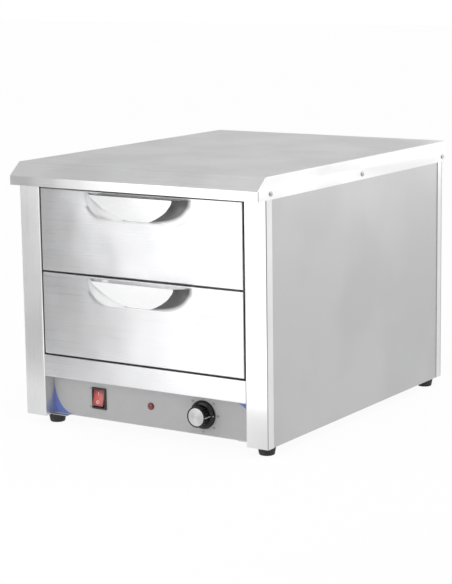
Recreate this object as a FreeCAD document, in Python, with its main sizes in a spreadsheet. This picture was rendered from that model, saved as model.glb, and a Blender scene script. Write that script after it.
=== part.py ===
"""Two-drawer countertop food warmer in sheet steel.

Every sub-part is one object of the document, in one shared frame in millimetres: X to the right, Y to
the back, Z up. The origin is at floor level, under the middle of the bounding box. Sub-parts are drawn
from two inner zeros, the front plane of the corner posts (y = 0) and the underside of the body (z = 0).
"""
import FreeCAD, Part
import math
import os
import Sketcher
from FreeCAD import Placement, Rotation, Vector

# ---------------------------------------------------------------- driving dimensions
SIZES = {
    # body
    "body_width": 480.0,
    "body_depth": 600.0,
    "body_height": 428.0,
    "sheet": 1.2,
    "panel_sheet": 1.0,
    "liner_sheet": 0.8,
    "post_width": 40.5,
    "post_return": 17.0,
    "panel_recess": 25.0,
    "side_flange": 15.0,
    "floor_flange": 70.0,
    "wing_front": 16.0,
    "rear_wrap": 20.0,
    # top cover
    "lip_overhang": 24.0,
    "bevel_back": 1.5,
    "bevel_drop": 20.6,
    "lip_height": 15.7,
    "lip_hem": 9.0,
    "rear_overhang": 8.0,
    "rear_skirt": 22.0,
    # front rails
    "fascia_low": 69.0,
    "fascia_top": 106.2,
    "rail_depth": 20.0,
    "head_gap": 2.5,
    # drawers
    "drawer_low": 108.9,
    "drawer_pitch": 140.5,
    "front_height": 137.8,
    "front_depth": 20.0,
    "front_gap": 2.5,
    "frame_low": 17.0,
    "pan_ledge": 6.0,
    # handle
    "handle_width": 206.0,
    "handle_height": 43.0,
    "handle_corner": 38.0,
    "handle_proud": 22.0,
    "rim_width": 165.0,
    "rim_height": 9.0,
    "rim_corner": 6.0,
    "rim_drop": 3.0,
    # food pan
    "pan_length": 530.0,
    "pan_width": 325.0,
    "pan_depth": 100.0,
    "pan_rim": 12.5,
    "pan_corner": 45.0,
    "pan_taper": 9.0,
    "pan_seat": 122.0,
    # telescopic slides
    "slide_length": 500.0,
    "slide_start": 30.0,
    "slide_height": 45.0,
    "slide_thickness": 12.7,
    "slide_level": 60.0,
    "slide_gap": 1.5,
    # warming chamber
    "liner_side_gap": 37.0,
    "liner_low": 107.2,
    "liner_top": 414.0,
    "liner_back": 566.0,
    # controls
    "knob_place": 102.5,
    "knob_level": 35.0,
    "skirt_diameter": 47.0,
    "grip_diameter": 33.0,
    "knob_reach": 22.0,
    "shaft_diameter": 6.0,
    "switch_place": 105.0,
    "switch_level": 36.4,
    "bezel_width": 29.0,
    "bezel_height": 36.5,
    "bezel_reach": 2.5,
    "rocker_tilt": 11.0,
    "lamp_level": 36.0,
    "lamp_diameter": 12.0,
    # heater
    "heater_diameter": 8.0,
    "heater_bend": 20.0,
    # cable entry
    "gland_reach": 20.0,
    "gland_place": 150.0,
    "gland_level": 45.0,
    "gland_bore": 9.0,
    # feet and fasteners
    "foot_height": 15.0,
    "foot_top": 30.0,
    "foot_bottom": 25.0,
    "foot_side": 20.0,
    "foot_back": 28.0,
    "left_foot_side": 40.0,
    "left_foot_back": 32.0,
    "screw_diameter": 4.0,
    "screw_head": 8.0,
    "head_height": 2.0,
    "screw_length": 8.0,
    # clearances
    "fit": 0.1,
    "running": 0.05,
}

doc = FreeCAD.newDocument("warming_drawer")
sheet = doc.addObject("Spreadsheet::Sheet", "Sizes")
for row, (alias, number) in enumerate(SIZES.items(), start=1):
    sheet.set(f"A{row}", alias)
    sheet.set(f"B{row}", str(number))
    sheet.setAlias(f"B{row}", alias)
doc.recompute()


class Size:
    """A length that carries its value and the expression that binds it to the sheet."""

    def __init__(self, value, text):
        self.value = float(value)
        self.text = text

    def __add__(self, other):
        return Size(self.value + number(other), f"({self.text} + {text(other)})")

    def __radd__(self, other):
        return Size(number(other) + self.value, f"({text(other)} + {self.text})")

    def __sub__(self, other):
        return Size(self.value - number(other), f"({self.text} - {text(other)})")

    def __rsub__(self, other):
        return Size(number(other) - self.value, f"({text(other)} - {self.text})")

    def __mul__(self, other):
        return Size(self.value * number(other), f"({self.text} * {text(other)})")

    def __rmul__(self, other):
        return Size(number(other) * self.value, f"({text(other)} * {self.text})")

    def __truediv__(self, other):
        return Size(self.value / number(other), f"({self.text} / {text(other)})")

    def __neg__(self):
        return Size(-self.value, f"(-1 * {self.text})")


def number(length):
    return length.value if isinstance(length, Size) else float(length)


def text(length):
    return length.text if isinstance(length, Size) else repr(float(length))


def root(length):
    return Size(math.sqrt(length.value), f"sqrt({length.text})")


def size(alias):
    return Size(sheet.get(alias), f"Sizes.{alias}")


def bind(item, path, length):
    """Binds one property of a document object to the sheet."""
    item.setExpression(path, text(length))


# ---------------------------------------------------------------- named sizes
width = size("body_width")
depth = size("body_depth")
height = size("body_height")
steel = size("sheet")
panel_steel = size("panel_sheet")
liner_steel = size("liner_sheet")
recess = size("panel_recess")
fit = size("fit")
running = size("running")
foot_height = size("foot_height")

half_width = width / 2
side_face = half_width - steel
side_inner = side_face - panel_steel
post_inner = half_width - size("post_width")
under_top = height - steel
front_half = post_inner - size("front_gap")
liner_half = half_width - size("liner_side_gap")
liner_inner = liner_half - liner_steel
slide_inner = liner_inner - size("slide_thickness")
ledge_inner = size("pan_width") / 2 - size("pan_ledge")
lip_low = height - size("bevel_drop") - size("lip_height")
cover_back = depth + size("rear_overhang")
bevel_slope = size("bevel_drop") / (size("bevel_back") + size("lip_overhang"))
bevel_skin = steel * root(1 + bevel_slope * bevel_slope)
# the posts and panels stop where the bevel's underside crosses the front plane
shell_top = height - size("bevel_drop") + size("lip_overhang") * bevel_slope - bevel_skin
front_split = size("drawer_pitch") - size("front_height")
gland_thread = size("gland_bore") / 2 + 3.5
screw_hole = (size("screw_diameter") + fit) / 2
SIDES = (("left", -1), ("right", 1))

# the inner zeros, seen from the origin
front_y = (size("lip_overhang") - depth - size("gland_reach")) / 2
base_z = foot_height


# ---------------------------------------------------------------- modelling helpers
def place(item, x=0.0, y=0.0, z=0.0):
    """Puts an object at a point counted from the inner zeros."""
    bind(item, "Placement.Base.x", x)
    bind(item, "Placement.Base.y", front_y + y)
    bind(item, "Placement.Base.z", base_z + z)


def block(name, low, high):
    """A box between two opposite corners."""
    item = doc.addObject("Part::Box", name)
    for side, start, end in zip(("Length", "Width", "Height"), low, high):
        bind(item, side, end - start)
    place(item, *low)
    return item


TURNS = {
    "x": Rotation(Vector(0, 1, 0), 90),
    "y": Rotation(Vector(1, 0, 0), -90),
    "z": Rotation(),
}


def rod(name, start, length, radius, axis="z"):
    """A cylinder that begins at a point and runs along +X, +Y or +Z."""
    item = doc.addObject("Part::Cylinder", name)
    bind(item, "Radius", radius)
    bind(item, "Height", length)
    item.Placement = Placement(Vector(), TURNS[axis])
    place(item, *start)
    return item


def cone(name, start, length, first_radius, last_radius, axis="z"):
    item = doc.addObject("Part::Cone", name)
    bind(item, "Radius1", first_radius)
    bind(item, "Radius2", last_radius)
    bind(item, "Height", length)
    item.Placement = Placement(Vector(), TURNS[axis])
    place(item, *start)
    return item


def fuse(name, *items):
    item = doc.addObject("Part::MultiFuse", name)
    item.Shapes = list(items)
    item.Refine = True
    return item


def cut(name, base, *tools):
    item = doc.addObject("Part::Cut", name)
    item.Base = base
    item.Tool = tools[0] if len(tools) == 1 else fuse(name + "_tools", *tools)
    item.Refine = True
    return item


def group(name, items):
    """Separate solids that share one node."""
    item = doc.addObject("Part::Compound", name)
    item.Links = list(items)
    return item


def new_body(name):
    body = doc.addObject("PartDesign::Body", name)
    place(body)
    return body


def new_sketch(body, name, plane, offset=0.0):
    """A sketch on one of the body's own origin planes, lifted along its normal.

    XY looks up, YZ looks along +X and XZ along -Y.
    """
    sketch = body.newObject("Sketcher::SketchObject", name)
    origin = next(item for item in body.Origin.OriginFeatures if item.Role == plane + "_Plane")
    sketch.AttachmentSupport = [(origin, "")]
    sketch.MapMode = "FlatFace"
    bind(sketch, "AttachmentOffset.Base.z", -offset if plane == "XZ" else offset)
    return sketch


def hold(sketch, kind, first, point, length):
    """Adds one dimension and binds it to the sheet."""
    if point is None:
        index = sketch.addConstraint(Sketcher.Constraint(kind, first, number(length)))
    else:
        index = sketch.addConstraint(Sketcher.Constraint(kind, first, point, number(length)))
    bind(sketch, f"Constraints[{index}]", length)


def draw_loop(sketch, points):
    """A closed polygon with both coordinates of every corner held."""
    start = sketch.GeometryCount
    count = len(points)
    spots = [Vector(number(u), number(v), 0) for u, v in points]
    for index in range(count):
        sketch.addGeometry(Part.LineSegment(spots[index], spots[(index + 1) % count]))
    for index in range(count):
        following = start + (index + 1) % count
        sketch.addConstraint(Sketcher.Constraint("Coincident", start + index, 2, following, 1))
    for index, (u, v) in enumerate(points):
        hold(sketch, "DistanceX", start + index, 1, u)
        hold(sketch, "DistanceY", start + index, 1, v)


def draw_rectangle(sketch, low, high):
    draw_loop(sketch, [low, (high[0], low[1]), high, (low[0], high[1])])


def draw_circle(sketch, centre, radius):
    spot = Vector(number(centre[0]), number(centre[1]), 0)
    index = sketch.addGeometry(Part.Circle(spot, Vector(0, 0, 1), number(radius)))
    hold(sketch, "DistanceX", index, 3, centre[0])
    hold(sketch, "DistanceY", index, 3, centre[1])
    hold(sketch, "Radius", index, None, radius)


def finish_feature(feature, sketch, length, plane, backward=False):
    feature.Profile = sketch
    bind(feature, "Length", length)
    feature.Reversed = (plane == "XZ") != backward
    return feature


def pad(body, sketch, length, plane):
    """Adds material from the sketch's plane towards +X, +Y or +Z."""
    feature = body.newObject("PartDesign::Pad", sketch.Name + "_pad")
    return finish_feature(feature, sketch, length, plane)


def pocket(body, sketch, length, plane):
    """Removes material from the sketch's plane towards +X, +Y or +Z, and proves that it did."""
    doc.recompute()
    before = body.Shape.Volume
    feature = body.newObject("PartDesign::Pocket", sketch.Name + "_pocket")
    finish_feature(feature, sketch, length, plane, backward=True)
    doc.recompute()
    if body.Shape.Volume > before - 1e-6:
        raise ValueError(f"{feature.Name} removed nothing")
    return feature


def extruded(name, plane, points, start, end):
    """A body padded from one polygon, between two stations along the plane's axis."""
    body = new_body(name)
    sketch = new_sketch(body, name + "_outline", plane, start)
    draw_loop(sketch, points)
    pad(body, sketch, end - start, plane)
    return body


def turned(name, stations, place_x, place_z, bore=None):
    """A solid of revolution about an axis along Y, from (y, radius) stations."""
    body = new_body(name)
    sketch = new_sketch(body, name + "_section", "YZ", 0.0)
    inner = bore if bore is not None else 0.0
    loop = [(stations[0][0], inner)] + list(stations) + [(stations[-1][0], inner)]
    draw_loop(sketch, loop)
    feature = body.newObject("PartDesign::Revolution", name + "_turn")
    feature.Profile = sketch
    feature.ReferenceAxis = (sketch, ["H_Axis"])
    feature.Angle = 360.0
    place(body, place_x, 0.0, place_z)
    return body


def shaped(name, shape):
    """A shape made directly, for paths and lofts between curved outlines."""
    item = doc.addObject("Part::Feature", name)
    item.Shape = shape
    item.Placement = Placement(Vector(0, front_y.value, base_z.value), Rotation())
    return item


def soft_path(points, bend):
    """A wire of straight runs joined by tangent arcs."""
    spots = [Vector(*[number(value) for value in point]) for point in points]
    edges = []
    last = spots[0]
    for before, corner, after in zip(spots, spots[1:], spots[2:]):
        inward = (before - corner).normalize()
        outward = (after - corner).normalize()
        half_turn = (math.pi - inward.getAngle(outward)) / 2
        reach = number(bend) * math.tan(half_turn)
        start = corner + inward * reach
        end = corner + outward * reach
        bisector = (inward + outward).normalize()
        to_centre = number(bend) / math.cos(half_turn)
        middle = corner + bisector * (to_centre - number(bend))
        edges.append(Part.LineSegment(last, start).toShape())
        edges.append(Part.Arc(start, middle, end).toShape())
        last = end
    edges.append(Part.LineSegment(last, spots[-1]).toShape())
    return Part.Wire(edges)


def tube(points, bend, diameter):
    """A round bar along a soft path."""
    path = soft_path(points, bend)
    first = path.Edges[0]
    direction = first.tangentAt(first.FirstParameter)
    ring = Part.Wire(Part.makeCircle(number(diameter) / 2, path.Vertexes[0].Point, direction))
    return path.makePipeShell([ring], True, False)


def rounded_ring(centre, across, along, corner, level):
    """A horizontal rectangle with round corners, as a wire."""
    cx, cy = centre
    half_x = across / 2
    half_y = along / 2
    edges = []
    corners = [(1, 1, 0), (-1, 1, 90), (-1, -1, 180), (1, -1, 270)]
    arcs = []
    for side_x, side_y, angle in corners:
        middle = Vector(cx + side_x * (half_x - corner), cy + side_y * (half_y - corner), level)
        arcs.append(Part.makeCircle(corner, middle, Vector(0, 0, 1), angle, angle + 90))
    for index, arc in enumerate(arcs):
        following = arcs[(index + 1) % 4]
        edges.append(arc)
        start = arc.valueAt(arc.LastParameter)
        end = following.valueAt(following.FirstParameter)
        edges.append(Part.makeLine(start, end))
    return Part.Wire(Part.__sortEdges__(edges))


# ---------------------------------------------------------------- outer shell
slot_length = 34.0
slot_height = 4.0
slot_pitch = 46.0
slot_levels = (30.0, 42.0, 54.0)
vent_length = 60.0
vent_width = 5.0
vent_column_pitch = 90.0
vent_row_pitch = 16.0
vent_start = 220.0
cover_screw_level = lip_low + 9.0
cover_screw_spots = [12.0, depth / 2, depth - 6.0]
rear_screw_place = half_width - 12.0
rear_screw_levels = [20.0, height / 2, lip_low - 12.0]
foot_spots = [
    (name, side * (half_width - inset), station)
    for name, side, inset, station in (
        ("front_left", -1, size("left_foot_side"), size("left_foot_back")),
        ("front_right", 1, size("foot_side"), size("foot_back")),
        ("rear_left", -1, size("foot_side"), depth - size("foot_back")),
        ("rear_right", 1, size("foot_side"), depth - size("foot_back")),
    )
]


def side_holes(name, from_x, to_x, spots):
    """Clearance holes for the cover screws, drilled along X through one side."""
    return [
        rod(f"{name}_hole_{index}", (from_x, spot, cover_screw_level), to_x - from_x, screw_hole, "x")
        for index, spot in enumerate(spots)
    ]


def make_top_cover():
    """A flat top with a bevelled front edge, a hemmed lip, side flanges and a rear skirt."""
    overhang = size("lip_overhang")
    drop = size("bevel_drop")
    inner_lip = -overhang + steel
    inner_bevel = height - drop + steel * bevel_slope - bevel_skin
    inner_top = -overhang + (drop - steel + bevel_skin) / bevel_slope
    body = new_body("cover_shell")
    section = new_sketch(body, "cover_section", "YZ", -half_width - steel)
    draw_loop(section, [
        (cover_back, height - size("rear_skirt")),
        (cover_back, height),
        (size("bevel_back"), height),
        (-overhang, height - drop),
        (-overhang, lip_low),
        (-overhang + size("lip_hem"), lip_low),
        (-overhang + size("lip_hem"), lip_low + steel),
        (inner_lip, lip_low + steel),
        (inner_lip, inner_bevel),
        (inner_top, under_top),
        (cover_back - steel, under_top),
        (cover_back - steel, height - size("rear_skirt")),
    ])
    pad(body, section, width + 2 * steel, "YZ")
    for name, start in (("left", -half_width - steel), ("right", half_width)):
        flange = new_sketch(body, f"cover_{name}_flange", "YZ", start)
        draw_loop(flange, [
            (-overhang, lip_low),
            (cover_back, lip_low),
            (cover_back, height),
            (size("bevel_back"), height),
            (-overhang, height - drop),
        ])
        pad(body, flange, steel, "YZ")
    holes = side_holes("cover", -half_width - steel - 1, half_width + steel + 1, cover_screw_spots)
    return cut("top_cover", body, *holes)


def make_front_post(name, side):
    """A folded corner post: front face, side return and a deep return into the drawer opening."""
    outline = [
        (side * post_inner, 0.0),
        (side * half_width, 0.0),
        (side * half_width, size("post_return")),
        (side * side_face, size("post_return")),
        (side * side_face, steel),
        (side * (post_inner + steel), steel),
        (side * (post_inner + steel), recess),
        (side * post_inner, recess),
    ]
    post = extruded(name + "_post_fold", "XY", outline, 0.0, shell_top)
    low_x = side_face - 1 if side > 0 else -half_width - 1
    hole = side_holes(name + "_post", low_x, low_x + steel + 2, cover_screw_spots[:1])
    return cut(name + "_front_post", post, *hole)


def make_side_panel(name, side):
    """A side sheet with front and rear flanges and a floor flange that carries the base."""
    inner_edge = side_inner - size("side_flange")
    fold = panel_steel + steel
    outline = [
        (side * side_face, steel),
        (side * side_face, depth - steel),
        (side * inner_edge, depth - steel),
        (side * inner_edge, depth - fold),
        (side * side_inner, depth - fold),
        (side * side_inner, fold),
        (side * inner_edge, fold),
        (side * inner_edge, steel),
    ]
    body = extruded(name + "_side_fold", "XY", outline, 0.0, shell_top)
    ledge = new_sketch(body, name + "_floor_flange", "XY")
    flange_edge = side_inner - size("floor_flange")
    notch_low = post_inner - fit
    notch_high = post_inner + steel + fit
    wing = [(side * flange_edge, recess + fit)]
    if side < 0:
        wing = [
            (side * flange_edge, size("wing_front")),
            (side * notch_low, size("wing_front")),
            (side * notch_low, recess + fit),
        ]
    draw_loop(ledge, [
        (side * side_inner, fold),
        (side * side_inner, depth - fold),
        (side * flange_edge, depth - fold),
        *wing,
        (side * notch_high, recess + fit),
        (side * notch_high, fold),
    ])
    pad(body, ledge, panel_steel, "XY")
    low_x = side_inner - 1 if side > 0 else -side_face - 1
    holes = side_holes(name + "_side", low_x, low_x + panel_steel + 2, cover_screw_spots)
    for index, (_, x, y) in enumerate(foot_spots):
        if number(x) * side > 0:
            holes.append(rod(f"{name}_foot_hole_{index}", (x, y, -1.0), panel_steel + 2, screw_hole))
    for index, level in enumerate(rear_screw_levels):
        spot = (side * rear_screw_place, depth - fold - 1, level)
        holes.append(rod(f"{name}_rear_hole_{index}", spot, panel_steel + 2, screw_hole, "y"))
    return cut(name + "_side_panel", body, *holes)


def make_rear_cover():
    """The back sheet, wrapped round both sides, with rows of vent slots and the cable hole."""
    wrap = size("rear_wrap")
    outline = [
        (-half_width, depth - wrap),
        (-half_width, depth),
        (half_width, depth),
        (half_width, depth - wrap),
        (side_face, depth - wrap),
        (side_face, depth - steel),
        (-side_face, depth - steel),
        (-side_face, depth - wrap),
    ]
    body = extruded("rear_fold", "XY", outline, 0.0, under_top)
    slots = new_sketch(body, "rear_slots", "XZ", depth - steel - 1)
    for column in range(-1, 4):
        for row_level in slot_levels:
            left = column * slot_pitch
            draw_rectangle(slots, (left, row_level), (left + slot_length, row_level + slot_height))
    pocket(body, slots, steel + 2, "XZ")
    tools = side_holes("rear", -half_width - 1, half_width + 1, cover_screw_spots[2:])
    for name, side in SIDES:
        for index, level in enumerate(rear_screw_levels):
            spot = (side * rear_screw_place, depth - steel - 1, level)
            tools.append(rod(f"rear_{name}_screw_hole_{index}", spot, steel + 2, screw_hole, "y"))
    gland_hole = (-size("gland_place"), depth - steel - 1, size("gland_level"))
    tools.append(rod("rear_gland_hole", gland_hole, steel + 2, gland_thread + fit, "y"))
    return cut("rear_cover", body, *tools)


def make_base_pan():
    """The floor sheet, carried on the side panels' floor flanges."""
    fold = panel_steel + steel
    base = extruded("base_sheet", "XY", [
        (-side_inner, recess),
        (side_inner, recess),
        (side_inner, depth - fold),
        (-side_inner, depth - fold),
    ], panel_steel, panel_steel * 2)
    vents = new_sketch(base, "base_vents", "XY", panel_steel - 1)
    for column in (-1, 0, 1):
        for step in range(4):
            left = column * vent_column_pitch - vent_length / 2
            front = vent_start + step * vent_row_pitch
            draw_rectangle(vents, (left, front), (left + vent_length, front + vent_width))
    pocket(base, vents, panel_steel + 2, "XY")
    holes = [
        rod(f"base_{name}_hole", (x, y, -1.0), panel_steel * 2 + 2, screw_hole)
        for name, x, y in foot_spots
    ]
    return cut("base_pan", base, *holes)


def make_rail(name, low, high, back_low, back_high):
    """A channel across the front, open to the back."""
    return extruded(name, "YZ", [
        (0.0, low),
        (back_low, low),
        (back_low, low + steel),
        (steel, low + steel),
        (steel, high - steel),
        (back_high, high - steel),
        (back_high, high),
        (0.0, high),
    ], -post_inner, post_inner)


def make_middle_rail():
    """The bar across the chamber's mouth, behind the gap between the drawers."""
    level = size("drawer_low") + size("drawer_pitch") - front_split / 2
    front = recess + liner_steel + 0.2
    back = front + size("rail_depth")
    low = level - 4.0
    high = level + 4.0
    return extruded("middle_rail", "YZ", [
        (front, low),
        (back, low),
        (back, low + steel),
        (front + steel, low + steel),
        (front + steel, high - steel),
        (back, high - steel),
        (back, high),
        (front, high),
    ], -liner_inner, liner_inner)


# ---------------------------------------------------------------- warming chamber
heater_level = size("liner_low") + 8.8
heater_foot = size("liner_low") - 22
heater_half = 120.0
heater_front = 70.0
heater_back = 515.0
bulb_place = 165.0
bulb_front = 180.0
bulb_length = 80.0
bulb_diameter = 6.0
capillary_diameter = 1.6


def make_liner():
    """The chamber: a box open at the front, with a collar against the posts' returns."""
    collar_reach = 19.0
    collar_rise = 9.0
    outer = block(
        "liner_outside",
        (-liner_half, recess, size("liner_low")),
        (liner_half, size("liner_back"), size("liner_top")),
    )
    collar = block(
        "liner_collar",
        (-liner_half - collar_reach, recess, size("liner_low")),
        (liner_half + collar_reach, recess + liner_steel, size("liner_top") + collar_rise),
    )
    inside = block(
        "liner_inside",
        (-liner_inner, recess + liner_steel, size("liner_low") + liner_steel),
        (liner_inner, size("liner_back") - liner_steel, size("liner_top") - liner_steel),
    )
    mouth = block(
        "liner_mouth",
        (-post_inner, recess - 1, size("liner_low") + liner_steel),
        (post_inner, recess + liner_steel + 1, size("liner_top") - liner_steel),
    )
    heater_hole = size("heater_diameter") / 2 + 1
    holes = [
        rod(f"liner_heater_hole_{name}", (side * heater_half, heater_front, size("liner_low") - 1),
            liner_steel + 2, heater_hole)
        for name, side in SIDES
    ]
    bulb_hole = rod("liner_bulb_hole", (bulb_place, bulb_front - 40, size("liner_low") - 1),
                    liner_steel + 2, 2.0)
    return cut("inner_liner", fuse("liner_shell", outer, collar), inside, mouth, bulb_hole, *holes)


def make_insulation():
    """Mineral wool between the chamber and the outer shell."""
    front = recess + liner_steel + 1
    top = shell_top - 1
    low = size("liner_low")
    back = size("liner_back")
    side_limit = half_width + steel - size("screw_length") - 0.4
    rear_limit = depth - size("screw_length") - 0.4
    block("insulation_left", (-side_limit, front, low), (-liner_half, back, top))
    block("insulation_right", (liner_half, front, low), (side_limit, back, top))
    block("insulation_top", (-liner_half, front, size("liner_top")), (liner_half, back, top))
    block("insulation_rear", (-side_limit, back, low), (side_limit, rear_limit, top))


def make_heater():
    """A sheathed heater bent to and fro over the chamber's floor, with both ends turned down."""
    inner = heater_half / 3
    level = heater_level.value
    radius = size("heater_diameter").value / 2
    route = [
        (-heater_half, heater_front, level),
        (-heater_half, heater_back, level),
        (-inner, heater_back, level),
        (-inner, heater_front + 30, level),
        (inner, heater_front + 30, level),
        (inner, heater_back, level),
        (heater_half, heater_back, level),
        (heater_half, heater_front, level),
    ]
    runs = tube(route, size("heater_bend"), size("heater_diameter"))
    ends = []
    for side in (-1, 1):
        foot = Vector(side * heater_half, heater_front, heater_foot.value)
        ends.append(Part.makeCylinder(radius, level - heater_foot.value, foot))
        ends.append(Part.makeSphere(radius, Vector(foot.x, foot.y, level)))
    return shaped("heating_element", runs.multiFuse(ends).removeSplitter())


bracket_stations = (160.0, 420.0)


def make_heater_brackets():
    """Upright clips that hold the heater's four runs off the chamber's floor."""
    floor = size("liner_low") + liner_steel
    top = heater_level + size("heater_diameter") / 2 + 2.0
    hole = size("heater_diameter") / 2 + running
    brackets = []
    overhang = 12.0
    gauge = 1.5
    for index, station in enumerate(bracket_stations):
        plate = block(
            f"bracket_plate_{index}",
            (-heater_half - overhang, station, floor),
            (heater_half + overhang, station + gauge, top),
        )
        holes = [
            rod(f"bracket_hole_{index}_{run}", (place_x, station - 1, heater_level), 3.5, hole, "y")
            for run, place_x in enumerate((-heater_half, -heater_half / 3, heater_half / 3, heater_half))
        ]
        brackets.append(cut(f"bracket_{index}", plate, *holes))
    return group("element_brackets", brackets)


def make_sensor():
    """The thermostat's bulb in the chamber and the capillary that joins them."""
    level = size("liner_low") + 7.5
    rod("capillary_bulb", (bulb_place, bulb_front, level), bulb_length, bulb_diameter / 2, "y")
    start_y = recess + steel + thermostat_depth
    route = [
        (size("knob_place"), start_y, size("knob_level")),
        (size("knob_place"), start_y + 30, size("knob_level")),
        (bulb_place, bulb_front - 40, size("knob_level")),
        (bulb_place, bulb_front - 40, level),
        (bulb_place, bulb_front, level),
    ]
    return shaped("capillary_tube", tube(route, 6.0, capillary_diameter))


# ---------------------------------------------------------------- controls
thermostat_depth = 36.0
lamp_hole = size("lamp_diameter") / 2 - 2.0
rocker_half = size("bezel_height") / 2 - 3.7
window_half = size("bezel_width") / 2 - 3.2
housing_half = window_half + 1.0
housing_half_height = rocker_half + 1.4
pivot_back = recess + 4.0


def make_control_panel():
    """The recessed panel, cut for the thermostat, the switch, the lamp and one foot's nut."""
    body = extruded("control_panel", "XZ", [
        (-post_inner - 8, panel_steel * 2),
        (post_inner + 8, panel_steel * 2),
        (post_inner + 8, size("fascia_low") + 12),
        (-post_inner - 8, size("fascia_low") + 12),
    ], recess, recess + steel)
    fold = new_sketch(body, "panel_floor_fold", "XY", panel_steel * 2)
    draw_rectangle(fold, (-post_inner, recess + steel), (post_inner, recess + steel + 14))
    pad(body, fold, steel, "XY")
    _, foot_x, foot_y = foot_spots[0]
    nut_gap = new_sketch(body, "panel_nut_gap", "XY", panel_steel * 2 - 0.5)
    draw_circle(nut_gap, (foot_x, foot_y), size("screw_diameter") / 2 + 3.2)
    pocket(body, nut_gap, steel + 1, "XY")
    cuts = new_sketch(body, "panel_cuts", "XZ", recess - 1)
    draw_circle(cuts, (size("knob_place"), size("knob_level")), size("shaft_diameter") / 2 + 2 + fit)
    draw_circle(cuts, (0.0, size("lamp_level")), lamp_hole + fit)
    draw_rectangle(
        cuts,
        (-size("switch_place") - housing_half - fit, size("switch_level") - housing_half_height - fit),
        (-size("switch_place") + housing_half + fit, size("switch_level") + housing_half_height + fit),
    )
    pocket(body, cuts, steel + 2, "XZ")
    return body


def make_thermostat():
    """The thermostat behind the panel, its bush through the panel and its turning shaft."""
    x = size("knob_place")
    z = size("knob_level")
    back = recess + steel
    case = block("thermostat_case", (x - 21, back, z - 17), (x + 21, back + thermostat_depth, z + 17))
    bush = rod("thermostat_bush", (x, recess - 0.4, z), steel + 0.8, size("shaft_diameter") / 2 + 2, "y")
    shaft_radius = size("shaft_diameter") / 2
    bore = rod("thermostat_bore", (x, recess - 1, z), steel + 16, shaft_radius + running, "y")
    cut("thermostat_body", fuse("thermostat_solid", case, bush), bore)
    shaft_front = recess - size("knob_reach") + 5
    rod("thermostat_shaft", (x, shaft_front, z), back + 13 - shaft_front, shaft_radius, "y")


def make_knob():
    """A skirted knob with a fine-grooved grip, and the bright disc set into its face."""
    x = size("knob_place")
    z = size("knob_level")
    front = recess - size("knob_reach")
    grip = size("grip_diameter") / 2
    skirt = size("skirt_diameter") / 2
    blank = turned("knob_blank", [
        (front, grip - 1.2),
        (front + 1.2, grip),
        (recess - 6, grip + 0.8),
        (recess - 5, skirt - 1.5),
        (recess - 2.5, skirt),
        (recess - 1, skirt),
    ], x, z)
    seat = rod("knob_disc_seat", (x, front - 1, z), 1.8, grip - 2.5, "y")
    shaft_front = front + 5
    bore = rod("knob_bore", (x, shaft_front, z), recess - shaft_front, size("shaft_diameter") / 2, "y")
    cut("control_knob", blank, seat, bore)
    rod("knob_disc", (x, front + 0.2, z), 0.6, grip - 2.5, "y")


def make_switch():
    """A rocker switch: a framed housing clipped in the panel and the rocker on its pivot pins."""
    x = -size("switch_place")
    z = size("switch_level")
    face = recess - size("bezel_reach")
    half_wide = size("bezel_width") / 2
    half_high = size("bezel_height") / 2
    frame = block(
        "switch_frame",
        (x - half_wide, face, z - half_high),
        (x + half_wide, recess, z + half_high),
    )
    shell = block(
        "switch_shell",
        (x - housing_half, recess, z - housing_half_height),
        (x + housing_half, recess + 26, z + housing_half_height),
    )
    cavity = block(
        "switch_cavity",
        (x - window_half, face - 1, z - rocker_half - 0.4),
        (x + window_half, recess + 16, z + rocker_half + 0.4),
    )
    pin_radius = 1.5
    pin_hole = rod("switch_pin_hole", (x - housing_half - 1, pivot_back, z),
                   housing_half * 2 + 2, pin_radius + running, "x")
    tabs = [
        block(f"switch_tab_{name}", (x + side * 6 - 2.4, recess + 26, z - 0.4),
              (x + side * 6 + 2.4, recess + 34, z + 0.4))
        for name, side in SIDES
    ]
    cut("rocker_housing", fuse("switch_solid", frame, shell, *tabs), cavity, pin_hole)

    reach = pivot_back - face
    body = new_body("switch_rocker")
    key_half = window_half - 0.3
    outline = new_sketch(body, "rocker_outline", "YZ", -key_half)
    half = rocker_half
    draw_loop(outline, [
        (-reach - 1.5, half - 2.6),
        (-reach * 0.6, half - 0.7),
        (0.0, half),
        (4.0, half - 4.2),
        (6.0, 4.0),
        (6.0, -4.0),
        (4.0, 4.2 - half),
        (0.0, -half),
        (-reach * 0.6, 0.7 - half),
        (-reach - 1.5, 2.6 - half),
        (-reach - 0.3, 0.0),
    ])
    pad(body, outline, key_half * 2, "YZ")
    pins = new_sketch(body, "rocker_pins", "YZ", -housing_half + 0.1)
    draw_circle(pins, (0.0, 0.0), pin_radius)
    pad(body, pins, housing_half * 2 - 0.2, "YZ")
    body.Placement = Placement(Vector(), Rotation(Vector(-1, 0, 0), size("rocker_tilt").value))
    bind(body, "Placement.Rotation.Angle", size("rocker_tilt"))
    place(body, x, pivot_back, z)


def make_lamp():
    """The pilot lamp: a ringed holder in the panel and its domed red lens."""
    z = size("lamp_level")
    ring = size("lamp_diameter") / 2
    lens = ring - 1.2
    flange = rod("lamp_flange", (0.0, recess - 1.6, z), 1.6, ring, "y")
    barrel = rod("lamp_barrel", (0.0, recess, z), 24.0, lamp_hole, "y")
    seat = rod("lamp_seat", (0.0, recess - 2.6, z), 2.0, lens, "y")
    cut("pilot_lamp_holder", fuse("lamp_solid", flange, barrel), seat)
    turned("pilot_lamp_lens", [
        (recess - 3.4, lens - 2.0),
        (recess - 2.6, lens - 0.6),
        (recess - 1.8, lens),
        (recess - 0.6, lens),
    ], 0.0, z)


terminal_set_in = 110.0


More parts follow.
